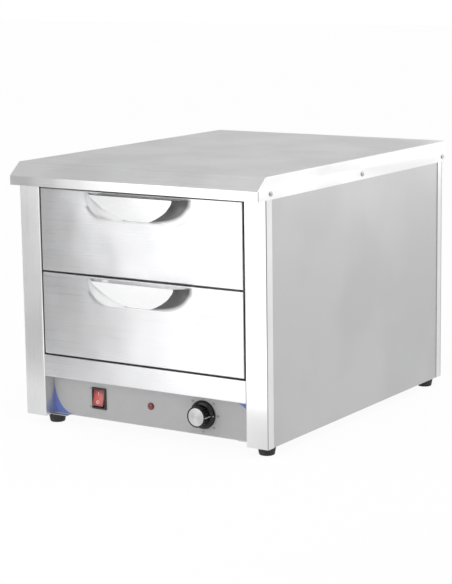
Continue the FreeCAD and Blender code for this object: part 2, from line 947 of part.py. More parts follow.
def make_terminal_block():
    """The mains terminal block on the base, beside the cable entry."""
    half_long = 26.0
    case_deep = 22.0
    case_high = 20.0
    well_deep = 8.0
    well_radius = 3.0
    well_pitch = 16.0
    floor = panel_steel * 2
    front = depth - terminal_set_in
    low = (-size("gland_place") - half_long, front, floor)
    high = (-size("gland_place") + half_long, front + case_deep, floor + case_high)
    case = block("terminal_case", low, high)
    wells = []
    for index in range(3):
        x = -size("gland_place") + (index - 1) * well_pitch
        mouth = (x, front + case_deep / 2, floor + case_high - well_deep)
        wells.append(rod(f"terminal_well_{index}", mouth, well_deep + 1, well_radius))
    return cut("terminal_block", case, *wells)


def make_wiring():
    """Insulated leads between the terminal block, the switch, the thermostat, the lamp and the heater."""
    lead = 2.6
    bend = 8.0
    block_y = number(depth) - terminal_set_in
    block_x = -number(size("gland_place"))
    switch_x = -number(size("switch_place"))
    switch_z = number(size("switch_level"))
    knob_x = number(size("knob_place"))
    knob_z = number(size("knob_level"))
    tab_y = number(recess) + 34
    thermo_y = number(recess + steel) + thermostat_depth
    heater_low = number(size("liner_low")) - 22
    block_level = number(panel_steel) * 2 + 7
    lamp_back = number(recess) + 24
    lamp_z = number(size("lamp_level"))
    routes = [
        [(block_x - 16, block_y, block_level), (block_x - 16, 200, block_level),
         (switch_x - 6, 150, switch_z), (switch_x - 6, tab_y, switch_z)],
        [(block_x, block_y, block_level), (block_x, 240, block_level), (-60, 180, block_level + 24),
         (-60, 110, block_level + 50), (-heater_half, heater_front, heater_low - 22),
         (-heater_half, heater_front, heater_low)],
        [(switch_x + 6, tab_y, switch_z), (switch_x + 6, 120, switch_z), (knob_x - 10, 130, knob_z + 4),
         (knob_x - 10, thermo_y, knob_z + 4)],
        [(knob_x + 10, thermo_y, knob_z + 8), (knob_x + 10, thermo_y + 22, knob_z + 8),
         (heater_half, heater_front + 24, knob_z + 16), (heater_half, heater_front, heater_low - 20),
         (heater_half, heater_front, heater_low)],
        [(0, lamp_back, lamp_z), (0, 96, lamp_z), (knob_x - 16, 104, knob_z - 10),
         (knob_x - 16, thermo_y, knob_z - 10)],
    ]
    leads = [tube(route, bend, lead) for route in routes]
    return shaped("wiring_loom", Part.makeCompound(leads))


def make_gland():
    """The cable gland in the back and the locknut inside it. It holds no cable."""
    x = -size("gland_place")
    z = size("gland_level")
    reach = size("gland_reach")
    bore = size("gland_bore") / 2
    hexagon = doc.addObject("Part::Prism", "gland_hexagon")
    hexagon.Polygon = 6
    bind(hexagon, "Circumradius", gland_thread + 5)
    bind(hexagon, "Height", reach * 0.4)
    hexagon.Placement = Placement(Vector(), TURNS["y"])
    place(hexagon, x, depth, z)
    stem_inside = 10.0
    stem_start = (x, depth - steel - stem_inside, z)
    thread = rod("gland_stem", stem_start, steel + stem_inside, gland_thread, "y")
    dome_start = (x, depth + reach * 0.4, z)
    dome = cone("gland_dome", dome_start, reach * 0.6, gland_thread + 3.6, bore + 2.2, "y")
    through = rod("gland_through", (x, depth - steel - 11, z), reach + steel + 12, bore, "y")
    cut("cable_gland", fuse("gland_solid", thread, hexagon, dome), through)

    nut = doc.addObject("Part::Prism", "gland_nut_blank")
    nut.Polygon = 6
    bind(nut, "Circumradius", gland_thread + 5)
    bind(nut, "Height", 4.0)
    nut.Placement = Placement(Vector(), TURNS["y"])
    place(nut, x, depth - steel - 4, z)
    hole = rod("gland_nut_hole", (x, depth - steel - 5, z), 6.0, gland_thread, "y")
    cut("gland_locknut", nut, hole)


# ---------------------------------------------------------------- feet and fasteners
def make_feet():
    """Four tapered rubber feet, each with a sunk screw and a nut above the base."""
    radius = size("screw_diameter") / 2
    sink = foot_height / 2
    screws = []
    for name, x, y in foot_spots:
        blank = cone(name + "_foot_blank", (x, y, -foot_height), foot_height,
                     size("foot_bottom") / 2, size("foot_top") / 2)
        well = rod(name + "_foot_well", (x, y, -foot_height - 1), sink + 1, size("screw_head") / 2 + 1)
        hole = rod(name + "_foot_hole", (x, y, -foot_height - 1), foot_height + 2, screw_hole)
        cut(name + "_foot", blank, well, hole)
        head = rod(name + "_foot_head", (x, y, -sink - size("head_height")), size("head_height"),
                   size("screw_head") / 2)
        shank = rod(name + "_foot_shank", (x, y, -sink), sink + panel_steel * 2 + 7, radius)
        screws.append(fuse(name + "_foot_screw", head, shank))
        nut = doc.addObject("Part::Prism", name + "_foot_nut_blank")
        nut.Polygon = 6
        bind(nut, "Circumradius", radius + 2)
        bind(nut, "Height", 3.2)
        place(nut, x, y, panel_steel * 2)
        nut_hole = rod(name + "_foot_nut_hole", (x, y, panel_steel * 2 - 1), 6.0, radius)
        screws.append(cut(name + "_foot_nut", nut, nut_hole))
    return group("foot_screws", screws)


def side_screw(name, side, station):
    """A pan-head screw driven inwards through the cover's side flange."""
    surface = half_width + steel
    radius = size("screw_diameter") / 2
    length = size("screw_length")
    head_height = size("head_height")
    if side > 0:
        head = cone(name + "_head", (surface, station, cover_screw_level), head_height,
                    size("screw_head") / 2, size("screw_head") / 2 - 1.4, "x")
        shank = rod(name + "_shank", (surface - length, station, cover_screw_level), length, radius, "x")
    else:
        head = cone(name + "_head", (-surface - head_height, station, cover_screw_level), head_height,
                    size("screw_head") / 2 - 1.4, size("screw_head") / 2, "x")
        shank = rod(name + "_shank", (-surface, station, cover_screw_level), length, radius, "x")
    return fuse(name, head, shank)


def rear_screw(name, side, level):
    radius = size("screw_diameter") / 2
    spot = (side * rear_screw_place, depth, level)
    head = cone(name + "_head", spot, size("head_height"), size("screw_head") / 2,
                size("screw_head") / 2 - 1.4, "y")
    length = size("screw_length")
    shank = rod(name + "_shank", (spot[0], depth - length, level), length, radius, "y")
    return fuse(name, head, shank)


def make_shell_screws():
    side_screws = []
    rear_screws = []
    for name, side in SIDES:
        for index, station in enumerate(cover_screw_spots):
            side_screws.append(side_screw(f"{name}_cover_screw_{index}", side, station))
        for index, level in enumerate(rear_screw_levels):
            rear_screws.append(rear_screw(f"{name}_rear_screw_{index}", side, level))
    group("cover_screws", side_screws)
    group("rear_screws", rear_screws)


# ---------------------------------------------------------------- drawers
def channel(name, side, near, far, web_far, high, level, front, length):
    """A slide member: a channel along Y. near and far count inwards from the chamber's wall."""
    low = level - high / 2
    top = level + high / 2
    steel_gauge = 1.2
    web = (far - steel_gauge, far) if web_far else (near, near + steel_gauge)
    if web_far:
        loop = [(near, low), (far, low), (far, top), (near, top), (near, top - steel_gauge),
                (web[0], top - steel_gauge), (web[0], low + steel_gauge), (near, low + steel_gauge)]
    else:
        loop = [(far, low), (near, low), (near, top), (far, top), (far, top - steel_gauge),
                (web[1], top - steel_gauge), (web[1], low + steel_gauge), (far, low + steel_gauge)]
    points = [(side * (liner_inner - inward), z) for inward, z in loop]
    return extruded(name, "XZ", points, front, front + length)


def make_slides(drawer, base):
    """Three nested members a side: rail on the chamber, middle member and drawer member."""
    level = base + size("slide_level")
    start = size("slide_start")
    length = size("slide_length")
    tall = size("slide_height")
    gap = size("slide_gap")
    middle_tall = tall - 2 * (steel + gap)
    inner_tall = middle_tall - 2 * (steel + gap)
    thick = size("slide_thickness")
    rails, middles, inners = [], [], []
    for name, side in SIDES:
        tag = f"{drawer}_{name}"
        rails.append(channel(tag + "_rail", side, 0.0, thick - 3.7, False, tall, level, start, length))
        middles.append(channel(tag + "_middle", side, 4.0, thick - 1.7, False, middle_tall, level,
                               start + 10, length - 20))
        inners.append(channel(tag + "_inner", side, 6.7, thick, True, inner_tall, level, start, length))
    group(f"{drawer}_slide_rails", rails)
    group(f"{drawer}_slide_middles", middles)
    group(f"{drawer}_slide_inners", inners)


def make_front(drawer, base):
    """The drawer front: a folded tray of steel, its closing plate and the wool between them."""
    top = base + size("front_height")
    back = size("front_depth")
    tray = block(f"{drawer}_front_tray", (-front_half, 0.0, base), (front_half, back, top))
    hollow = block(
        f"{drawer}_front_hollow",
        (-front_half + panel_steel, panel_steel, base + panel_steel),
        (front_half - panel_steel, back + 1, top - panel_steel),
    )
    cut(f"{drawer}_front_skin", tray, hollow)
    plate_face = back - panel_steel
    inner_half = front_half - panel_steel
    seat = base + size("pan_seat")
    plate = block(f"{drawer}_plate", (-inner_half, plate_face, base + panel_steel),
                  (inner_half, back, top - panel_steel))
    ledge = block(f"{drawer}_plate_ledge", (-ledge_inner, back, seat - steel),
                  (ledge_inner, back + 15, seat))
    fuse(f"{drawer}_front_inner", plate, ledge)
    block(f"{drawer}_front_insulation", (-inner_half + fit, panel_steel + fit, base + panel_steel + fit),
          (inner_half - fit, plate_face - fit, top - panel_steel - fit))


def scoop_ring(width_here, high, corner, top, y, inset):
    """The handle's outline in one upright plane, square at the top and round at the bottom."""
    half = width_here / 2 - inset
    low = top - high + inset
    bend = max(corner - inset, 0.5)
    top_right = Vector(half, y, top)
    low_right = Vector(half, y, low + bend)
    floor_right = Vector(half - bend, y, low)
    lean = bend * (1 - math.sqrt(0.5))
    edges = [
        Part.makeLine(Vector(-half, y, top), top_right),
        Part.makeLine(top_right, low_right),
        Part.Arc(low_right, Vector(half - lean, y, low + lean), floor_right).toShape(),
        Part.makeLine(floor_right, Vector(-half + bend, y, low)),
        Part.Arc(Vector(-half + bend, y, low), Vector(-half + lean, y, low + lean),
                 Vector(-half, y, low + bend)).toShape(),
        Part.makeLine(Vector(-half, y, low + bend), Vector(-half, y, top)),
    ]
    return Part.Wire(edges)


def make_handle(drawer, base):
    """A pressed scoop, open at the top, welded to the drawer front."""
    top = (base + size("front_height") - size("rim_drop")).value
    sheet_gauge = panel_steel.value
    wide = size("handle_width").value
    high = size("handle_height").value
    corner = size("handle_corner").value
    proud = size("handle_proud").value
    rim_wide = size("rim_width").value
    rim_high = size("rim_height").value
    rim_corner = size("rim_corner").value
    outside = Part.makeLoft([
        scoop_ring(wide, high, corner, top, 0.0, 0.0),
        scoop_ring(rim_wide, rim_high, rim_corner, top, -proud, 0.0),
    ], True, True)
    inside = Part.makeLoft([
        scoop_ring(wide, high + 1, corner, top + 1, 0.0, sheet_gauge),
        scoop_ring(rim_wide, rim_high + 1, rim_corner, top + 1, -proud + sheet_gauge, sheet_gauge),
    ], True, True)
    return shaped(f"{drawer}_handle", outside.cut(inside))


def make_pan_frame(drawer, base):
    """Rails either side and at the back, with ledges that carry the pan's rim."""
    low = base + size("frame_low")
    seat = base + size("pan_seat")
    front = size("front_depth")
    back = front + size("pan_length") + 10
    rails = []
    for name, side in SIDES:
        loop = [
            (slide_inner, low),
            (slide_inner, seat),
            (ledge_inner, seat),
            (ledge_inner, seat - steel),
            (slide_inner - steel, seat - steel),
            (slide_inner - steel, low),
        ]
        points = [(side * x, z) for x, z in loop]
        rails.append(extruded(f"{drawer}_{name}_pan_rail", "XZ", points, front, back))
    group(f"{drawer}_pan_rails", rails)
    rear = extruded(f"{drawer}_rear_rail", "XZ", [
        (-slide_inner + steel, low),
        (slide_inner - steel, low),
        (slide_inner - steel, seat - steel),
        (-slide_inner + steel, seat - steel),
    ], back - steel, back)
    ledge = new_sketch(rear, f"{drawer}_rear_ledge", "XY", seat - steel)
    draw_rectangle(ledge, (-ledge_inner, back - 16), (ledge_inner, back))
    pad(rear, ledge, steel, "XY")


def make_pan(drawer, base):
    """A full-size gastronorm pan: a rimmed, tapered tub."""
    gauge = liner_steel.value
    length = size("pan_length").value
    across = size("pan_width").value
    rim = size("pan_rim").value
    deep = size("pan_depth").value
    corner = size("pan_corner").value
    taper = size("pan_taper").value
    seat = (base + size("pan_seat")).value
    centre = (0.0, size("front_depth").value + 5 + length / 2)
    top = seat + gauge
    outer_top = rounded_ring(centre, across - 2 * rim, length - 2 * rim, corner, seat)
    outer_low = rounded_ring(centre, across - 2 * rim - 2 * taper, length - 2 * rim - 2 * taper,
                             corner - taper / 2, seat - deep)
    inner_top = rounded_ring(centre, across - 2 * rim - 2 * gauge, length - 2 * rim - 2 * gauge,
                             corner - gauge, seat)
    inner_low = rounded_ring(centre, across - 2 * rim - 2 * taper - 2 * gauge,
                             length - 2 * rim - 2 * taper - 2 * gauge,
                             corner - taper / 2 - gauge, seat - deep + gauge)
    flange = Part.Face(rounded_ring(centre, across, length, 18.0, seat)).extrude(Vector(0, 0, gauge))
    mouth = Part.Face(inner_top).extrude(Vector(0, 0, gauge))
    tub = Part.makeLoft([outer_low, outer_top], True, True)
    hollow = Part.makeLoft([inner_low, inner_top], True, True)
    pan = tub.fuse(flange).cut(hollow.fuse(mouth))
    if pan.BoundBox.ZMax < top - 0.01:
        raise ValueError("the pan has lost its rim")
    return shaped(f"{drawer}_pan", pan.removeSplitter())


# ---------------------------------------------------------------- the whole object
make_top_cover()
for side_name, side_sign in SIDES:
    make_front_post(side_name, side_sign)
    make_side_panel(side_name, side_sign)
make_rear_cover()
make_base_pan()
make_rail("lower_fascia", size("fascia_low"), size("fascia_top"), recess, size("rail_depth"))
head_low = size("drawer_low") + size("drawer_pitch") + size("front_height") + size("head_gap")
make_rail("head_rail", head_low, shell_top, size("rail_depth"), size("rail_depth"))
make_middle_rail()
make_liner()
make_insulation()
make_heater()
make_heater_brackets()
make_sensor()
make_control_panel()
make_thermostat()
make_knob()
make_switch()
make_lamp()
make_terminal_block()
make_wiring()
make_gland()
make_feet()
make_shell_screws()
DRAWERS = (("lower", size("drawer_low")), ("upper", size("drawer_low") + size("drawer_pitch")))
for drawer_name, drawer_base in DRAWERS:
    make_front(drawer_name, drawer_base)
    make_handle(drawer_name, drawer_base)
    make_pan_frame(drawer_name, drawer_base)
    make_pan(drawer_name, drawer_base)
    make_slides(drawer_name, drawer_base)

NODES = [
    "top_cover", "left_side_panel", "right_side_panel", "left_front_post", "right_front_post",
    "rear_cover", "base_pan", "lower_fascia", "head_rail", "middle_rail",
    "inner_liner", "insulation_left", "insulation_right", "insulation_top", "insulation_rear",
    "heating_element", "element_brackets", "capillary_bulb", "capillary_tube",
    "control_panel", "thermostat_body", "thermostat_shaft", "control_knob", "knob_disc",
    "rocker_housing", "switch_rocker", "pilot_lamp_holder", "pilot_lamp_lens",
    "terminal_block", "wiring_loom", "cable_gland", "gland_locknut",
    "front_left_foot", "front_right_foot", "rear_left_foot", "rear_right_foot",
    "foot_screws", "cover_screws", "rear_screws",
]
for drawer_name, _ in DRAWERS:
    NODES += [f"{drawer_name}_{piece}" for piece in (
        "front_skin", "front_inner", "front_insulation", "handle", "pan_rails", "rear_rail", "pan",
        "slide_rails", "slide_middles", "slide_inners",
    )]

doc.recompute()
for item in doc.Objects:
    if "Invalid" in item.State or "Error" in item.State:
        raise RuntimeError(f"{item.Name} did not compute")
os.makedirs("parts", exist_ok=True)
for node in NODES:
    item = doc.getObject(node)
    item.Label = node
    if item.Shape.isNull() or not item.Shape.isValid():
        raise RuntimeError(f"{item.Label} has no valid shape")
    item.Shape.exportStep(f"parts/{item.Label}.step")
    print(item.Label, len(item.Shape.Solids), round(item.Shape.Volume / 1000, 2), "cm3")
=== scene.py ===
import math
import bmesh
import bpy
from mathutils import Matrix, Vector


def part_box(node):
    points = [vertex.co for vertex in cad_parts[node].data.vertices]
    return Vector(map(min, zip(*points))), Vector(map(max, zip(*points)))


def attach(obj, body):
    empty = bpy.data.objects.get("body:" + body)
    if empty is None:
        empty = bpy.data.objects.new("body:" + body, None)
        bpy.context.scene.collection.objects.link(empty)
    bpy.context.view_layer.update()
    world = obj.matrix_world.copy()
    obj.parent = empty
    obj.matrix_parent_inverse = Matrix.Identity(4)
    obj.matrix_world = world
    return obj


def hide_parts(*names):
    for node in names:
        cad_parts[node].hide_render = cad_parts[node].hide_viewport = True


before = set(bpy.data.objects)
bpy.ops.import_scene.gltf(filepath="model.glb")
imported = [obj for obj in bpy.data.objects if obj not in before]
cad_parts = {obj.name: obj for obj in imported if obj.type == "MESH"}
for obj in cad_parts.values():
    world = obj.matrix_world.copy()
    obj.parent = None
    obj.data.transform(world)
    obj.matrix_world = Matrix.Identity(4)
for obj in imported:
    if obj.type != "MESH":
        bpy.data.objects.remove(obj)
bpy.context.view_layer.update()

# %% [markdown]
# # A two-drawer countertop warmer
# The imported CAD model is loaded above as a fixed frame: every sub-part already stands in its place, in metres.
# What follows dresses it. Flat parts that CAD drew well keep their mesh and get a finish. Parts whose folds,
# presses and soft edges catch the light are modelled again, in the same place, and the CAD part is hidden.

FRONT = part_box("left_front_post")[0].y
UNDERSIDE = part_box("left_front_post")[0].z
print("front plane", round(FRONT, 4), "underside", round(UNDERSIDE, 4), "parts", len(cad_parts))


def spot(x, y, z):
    """A point in metres, from millimetres counted from the posts' front plane and the body's underside."""
    return Vector((x / 1000, FRONT + y / 1000, UNDERSIDE + z / 1000))


# %% [markdown]
# ## The camera
# A long lens, a few metres away and a little above the object, keeps its upright edges nearly parallel. The
# camera's place and turn are written as numbers, because aiming it with a constraint would lose the slight roll.

# %% Camera
turn, dip, roll = math.radians(33.124), math.radians(10.374), math.radians(-0.778)
sight = Vector((-math.sin(turn) * math.cos(dip), math.cos(turn) * math.cos(dip), -math.sin(dip)))
right = Vector((math.cos(turn), math.sin(turn), 0))
up = right.cross(sight)
rolled_right = right * math.cos(roll) + up * math.sin(roll)
rolled_up = up * math.cos(roll) - right * math.sin(roll)
bpy.ops.object.camera_add(location=spot(1711.05, -2368.94, 762.1))
camera = bpy.context.object
camera.name = "camera"
camera.data.lens = 114.10
camera.data.sensor_width = 36
axes = Matrix((rolled_right, rolled_up, -sight)).transposed()
camera.rotation_euler = axes.to_euler()
bpy.context.scene.camera = camera
print("lens", camera.data.lens, "distance", round((camera.location - spot(0, 0, 200)).length, 2))

# %% [markdown]
# ## The studio
# Brushed steel has hardly any colour of its own: it shows a blurred picture of the room. So the room matters as
# much as the material. Here it is a white floor and a white surround. The camera and every reflection see them
# as plain white, but they light the object a little less than that, so that pale steel doesn't burn out. The
# floor mixes its white with a matt paint, and the paint's share carries the object's shadow.

# %% Floor and surround
bpy.context.scene.view_settings.view_transform = "Standard"
SEEN_WHITE = 1.0
SURROUND_LIGHT = 0.85
FLOOR_WHITE_SHARE = 0.93


def deselect_pieces():
    bpy.ops.object.select_all(action="DESELECT")


def new_material(name):
    material = bpy.data.materials.new(name)
    material.use_nodes = True
    material.node_tree.nodes.clear()
    return material


def link(material, source, target):
    material.node_tree.links.new(source, target)


def add_node(material, kind, sockets=()):
    """A node whose sockets are set to plain values or linked to other nodes' outputs."""
    node = material.node_tree.nodes.new(kind)
    for socket, value in dict(sockets).items():
        if isinstance(value, bpy.types.NodeSocket):
            link(material, value, node.inputs[socket])
        else:
            node.inputs[socket].default_value = value
    return node


def reckon(material, operation, *values):
    sum_of = add_node(material, "ShaderNodeMath", enumerate(values))
    sum_of.operation = operation
    return sum_of.outputs[0]


def glows(material, kind, strength):
    return add_node(material, kind, {"Color": (1, 1, 1, 1), "Strength": strength}).outputs[0]


def mixed_out(material, share, first, second, kind):
    """Mixes two shaders by a share and sends the mix to the output."""
    mix = add_node(material, "ShaderNodeMixShader", enumerate((share, first, second)))
    add_node(material, kind, {0: mix.outputs[0]})


surround = bpy.data.worlds.new("surround")
bpy.context.scene.world = surround
surround.use_nodes = True
surround.node_tree.nodes.clear()
paths = add_node(surround, "ShaderNodeLightPath").outputs
seen = reckon(surround, "MAXIMUM", paths["Is Camera Ray"], paths["Is Glossy Ray"])
seen = reckon(surround, "MAXIMUM", seen, paths["Is Transmission Ray"])
mixed_out(surround, seen, glows(surround, "ShaderNodeBackground", SURROUND_LIGHT),
          glows(surround, "ShaderNodeBackground", SEEN_WHITE), "ShaderNodeOutputWorld")

deselect_pieces()
bpy.ops.mesh.primitive_plane_add(size=30, location=(0, 0, 0))
floor = bpy.context.object
floor.name = "floor"
paper = new_material("white_paper")
matt = add_node(paper, "ShaderNodeBsdfDiffuse", {"Color": (0.94, 0.94, 0.94, 1)})
paths = add_node(paper, "ShaderNodeLightPath").outputs
seen = reckon(paper, "MAXIMUM", paths["Is Camera Ray"], paths["Is Glossy Ray"])
mixed_out(paper, reckon(paper, "MULTIPLY", seen, FLOOR_WHITE_SHARE), matt.outputs[0],
          glows(paper, "ShaderNodeEmission", SEEN_WHITE), "ShaderNodeOutputMaterial")
floor.data.materials.append(paper)
print("surround and floor ready")

# %% [markdown]
# ## Lights and cards
# A tall soft light at the front left is for the drawers, one at the back right is for the side, a wide one hangs
# overhead, and a small one lies on the floor and fills the controls from below. Where flat steel would mirror
# plain white, boards stand in its view: a grey wall, a flag and a step at the left give the top and the drawers'
# left ends their tone, a grey mat does so near the floor, and a dark card at the front right draws the dark
# lines along the folds. Less light could not do this, because a mirror shows what stands before it.

# %% Soft lights, grey boards and the dark card


def soft_light(name, place, target, wide, high, power):
    bpy.ops.object.light_add(type="AREA", location=place)
    lamp = bpy.context.object
    lamp.name = name
    lamp.data.shape = "RECTANGLE"
    lamp.data.size = wide
    lamp.data.size_y = high
    lamp.data.energy = power
    lamp.rotation_euler = (Vector(target) - Vector(place)).to_track_quat("-Z", "Y").to_euler()
    lamp.visible_camera = False
    return lamp


soft_light("front_left_light", (-0.95, -1.75, 0.62), (0.1, -0.3, 0.3), 1.5, 1.2, 7.6)
soft_light("back_right_light", (1.9, 1.9, 0.8), (0.24, 0.0, 0.3), 1.8, 1.5, 7.8)
soft_light("overhead_light", (0.7, -0.9, 2.6), (0.1, -0.4, 0.0), 2.0, 2.0, 18)
soft_light("low_fill_light", (-0.08, -0.95, 0.01), (-0.08, -0.95, 1.0), 0.5, 0.8, 1.3)


def card(name, middle, wide, high, turn, grey, lean=90):
    """A plain board that only reflections and soft light can see; lean 90 stands it up, 0 lays it flat."""
    deselect_pieces()
    bpy.ops.mesh.primitive_plane_add(size=1, location=(0, 0, 0))
    board = bpy.context.object
    board.name = name
    bpy.ops.transform.resize(value=(wide, high, 1))
    board.rotation_euler = (math.radians(lean), 0, math.radians(turn))
    board.location = middle
    board.visible_camera = False
    board.visible_shadow = False
    paint = new_material(name)
    face = add_node(paint, "ShaderNodeBsdfDiffuse", {"Color": (grey, grey, grey, 1)})
    add_node(paint, "ShaderNodeOutputMaterial", {0: face.outputs[0]})
    board.data.materials.append(paint)
    return board


card("grey_wall", (-0.55, 0.53, 1.21), 2.54, 1.58, 90, 0.68)
card("grey_flag", (-0.55, -0.775, 0.5), 0.23, 1.0, 90, 0.25)
card("grey_step", (-0.55, -0.5, 0.3), 0.32, 0.6, 90, 0.9)
mat = card("grey_mat", (-0.45, -0.9, 0.004), 0.38, 0.62, 0, 0.5, 0)
mat.visible_diffuse = False  # or the floor under it would turn grey too
card("dark_card", (1.1, -0.85, 0.5), 0.85, 1.0, 57, 0.02)

# %% [markdown]
# ## Finishes
# Rolled and brushed sheet carries thousands of fine parallel scratches. They are made here from noise that is
# stretched a long way along the grain: it drives the roughness, a faint bump and a slight change of tone. A
# second, slow noise stands for the sheet's gentle waves, which make its reflections cloudy. An image would do
# this too, but noise needs no file and never repeats. The scratches also smear every highlight across their
# run, and for that the shader's anisotropy is given a tangent that goes round the grain's own axis.

# %% A maker of brushed metal


def principled(material, metallic):
    shader = add_node(material, "ShaderNodeBsdfPrincipled", {"Metallic": metallic})
    add_node(material, "ShaderNodeOutputMaterial", {0: shader.outputs[0]})
    return shader


def object_coordinates(material, scale=(1, 1, 1), move=(0, 0, 0)):
    """Object coordinates through a mapping, as one vector output."""
    place = add_node(material, "ShaderNodeTexCoord").outputs["Object"]
    return add_node(material, "ShaderNodeMapping", {"Scale": scale, "Location": move, "Vector": place}).outputs[0]


def noise(material, vector, scale, detail=3.0, roughness=0.5):
    return add_node(material, "ShaderNodeTexNoise", {"Scale": scale, "Detail": detail, "Roughness": roughness,
                                                     "Vector": vector}).outputs["Fac"]


def spread(material, value, low, high, start=0.3, end=0.7):
    """Maps a 0 to 1 value onto a range of numbers."""
    return add_node(material, "ShaderNodeMapRange", {"From Min": start, "From Max": end, "To Min": low,
                                                     "To Max": high, "Value": value}).outputs[0]


def two_tones(material, value, dark, light):
    ramp = add_node(material, "ShaderNodeValToRGB", {"Fac": value})
    for stop, position, tone in zip(ramp.color_ramp.elements, (0.3, 0.7), (dark, light)):
        stop.position = position
        stop.color = (*tone, 1)
    return ramp.outputs["Color"]


def shades(tone, change):
    """A tone made a little darker, and a little lighter."""
    return (tuple(channel * (1 - change) for channel in tone),
            tuple(min(channel * (1 + change), 1.0) for channel in tone))


def add_bump(material, shader, height, strength, distance, before=None):
    bump = add_node(material, "ShaderNodeBump", {"Strength": strength, "Distance": distance, "Height": height})
    if before is not None:
        link(material, before.outputs["Normal"], bump.inputs["Normal"])
    link(material, bump.outputs["Normal"], shader.inputs["Normal"])
    return bump


GRAIN = {"x": (4, 1600, 1600), "y": (1600, 4, 1600), "z": (1600, 1600, 4)}


def brushed_steel(name, tone, grain, rough=(0.26, 0.36), cloud=0.05, wave=0.25, wave_size=7.0, stretch=0.6):
    """Brushed sheet: fine grain along one axis and slow waves over the whole sheet."""
    material = new_material(name)
    shader = principled(material, 1.0)
    fine = noise(material, object_coordinates(material, GRAIN[grain]), 1.0, 4.0, 0.6)
    slow = noise(material, object_coordinates(material), wave_size, 2.0, 0.4)
    tone_change = reckon(material, "MULTIPLY_ADD", fine, 0.2, spread(material, slow, 0.0, 0.8))
    link(material, two_tones(material, tone_change, *shades(tone, cloud)), shader.inputs["Base Color"])
    link(material, spread(material, fine, *rough), shader.inputs["Roughness"])
    first = add_bump(material, shader, slow, wave, 0.01)
    add_bump(material, shader, fine, 0.03, 0.0004, first)
    shader.inputs["Anisotropic"].default_value = stretch
    across = add_node(material, "ShaderNodeTangent")
    across.direction_type = "RADIAL"
    across.axis = grain.upper()
    link(material, across.outputs[0], shader.inputs["Tangent"])
    return material


def plain_finish(name, tone, rough, metallic=0.0, speck=900.0, bump=0.05, deep=0.0002, vary=0.08):
    """A moulded, painted or plated finish with a fine grain and a slight change of tone."""
    material = new_material(name)
    shader = principled(material, metallic)
    fine = noise(material, object_coordinates(material), speck, 3.0)
    slow = noise(material, object_coordinates(material), speck / 20, 2.0)
    link(material, two_tones(material, slow, *shades(tone, vary)), shader.inputs["Base Color"])
    link(material, spread(material, slow, *rough), shader.inputs["Roughness"])
    add_bump(material, shader, fine, bump, deep)
    return material, shader


# %% [markdown]
# ## The finishes themselves
# The shell's sheets differ mostly in the way their grain runs and in how much light they give back. The side
# sheets are a darker copy of the same steel, which is painted shade. The outer bend of a post has a darker
# finish, so that a fine line marks the corner. Inside, the liner and pans are duller, the slides are zinc
# plated, and rubber, plastics, wool and copper are plain finishes with a fine grain.

# %% Steel, plating, rubber and plastics
shell_steel = brushed_steel("shell_steel", (0.74, 0.74, 0.745), "x")
drawer_steel = brushed_steel("drawer_steel", (0.67, 0.67, 0.68), "x")
shell_steel_side = brushed_steel("shell_steel_side", (0.76, 0.76, 0.765), "z")
# painted shade: the side sheets are a darker copy of the shell's steel
side_painted_shade_steel = brushed_steel("side_painted_shade_steel", (0.535, 0.535, 0.537), "z", rough=(0.34, 0.44), cloud=0.03, wave=0.1)
bend_steel = brushed_steel("bend_steel", (0.3, 0.3, 0.302), "z", rough=(0.3, 0.4))
liner_steel = brushed_steel("liner_steel", (0.50, 0.50, 0.50), "y", rough=(0.3, 0.42), cloud=0.06)
pan_steel = brushed_steel("pan_steel", (0.58, 0.58, 0.575), "y", rough=(0.22, 0.34), cloud=0.04)
zinc, _ = plain_finish("slide_zinc", (0.55, 0.56, 0.58), (0.3, 0.45), metallic=1.0, speck=500)
screw_metal, _ = plain_finish("screw_steel", (0.5, 0.5, 0.5), (0.25, 0.4), metallic=1.0, speck=700)
sheath, _ = plain_finish("heater_sheath", (0.16, 0.15, 0.15), (0.4, 0.6), metallic=1.0, speck=600)
copper, _ = plain_finish("capillary_copper", (0.75, 0.4, 0.27), (0.25, 0.4), metallic=1.0, speck=600)
wool, _ = plain_finish("mineral_wool", (0.62, 0.56, 0.38), (0.9, 1.0), speck=260, bump=0.8, deep=0.002, vary=0.25)
rubber, _ = plain_finish("foot_rubber", (0.022, 0.022, 0.023), (0.55, 0.75), speck=1200, bump=0.15)
knob_black, knob_shader = plain_finish("knob_plastic", (0.008, 0.008, 0.0085), (0.12, 0.2), speck=1500, bump=0.05)
knob_shader.inputs["Specular IOR Level"].default_value = 0.3
switch_black, _ = plain_finish("switch_plastic", (0.02, 0.02, 0.021), (0.3, 0.42), speck=1400, bump=0.08)
case_black, _ = plain_finish("thermostat_case", (0.05, 0.05, 0.05), (0.5, 0.6), speck=900)
terminal_white, _ = plain_finish("terminal_plastic", (0.7, 0.68, 0.62), (0.5, 0.6), speck=900)
sleeve_white, _ = plain_finish("wire_sleeve", (0.6, 0.6, 0.57), (0.6, 0.7), speck=900)
gland_grey, _ = plain_finish("gland_plastic", (0.08, 0.08, 0.082), (0.4, 0.5), speck=1000)
print("finishes", len(bpy.data.materials))
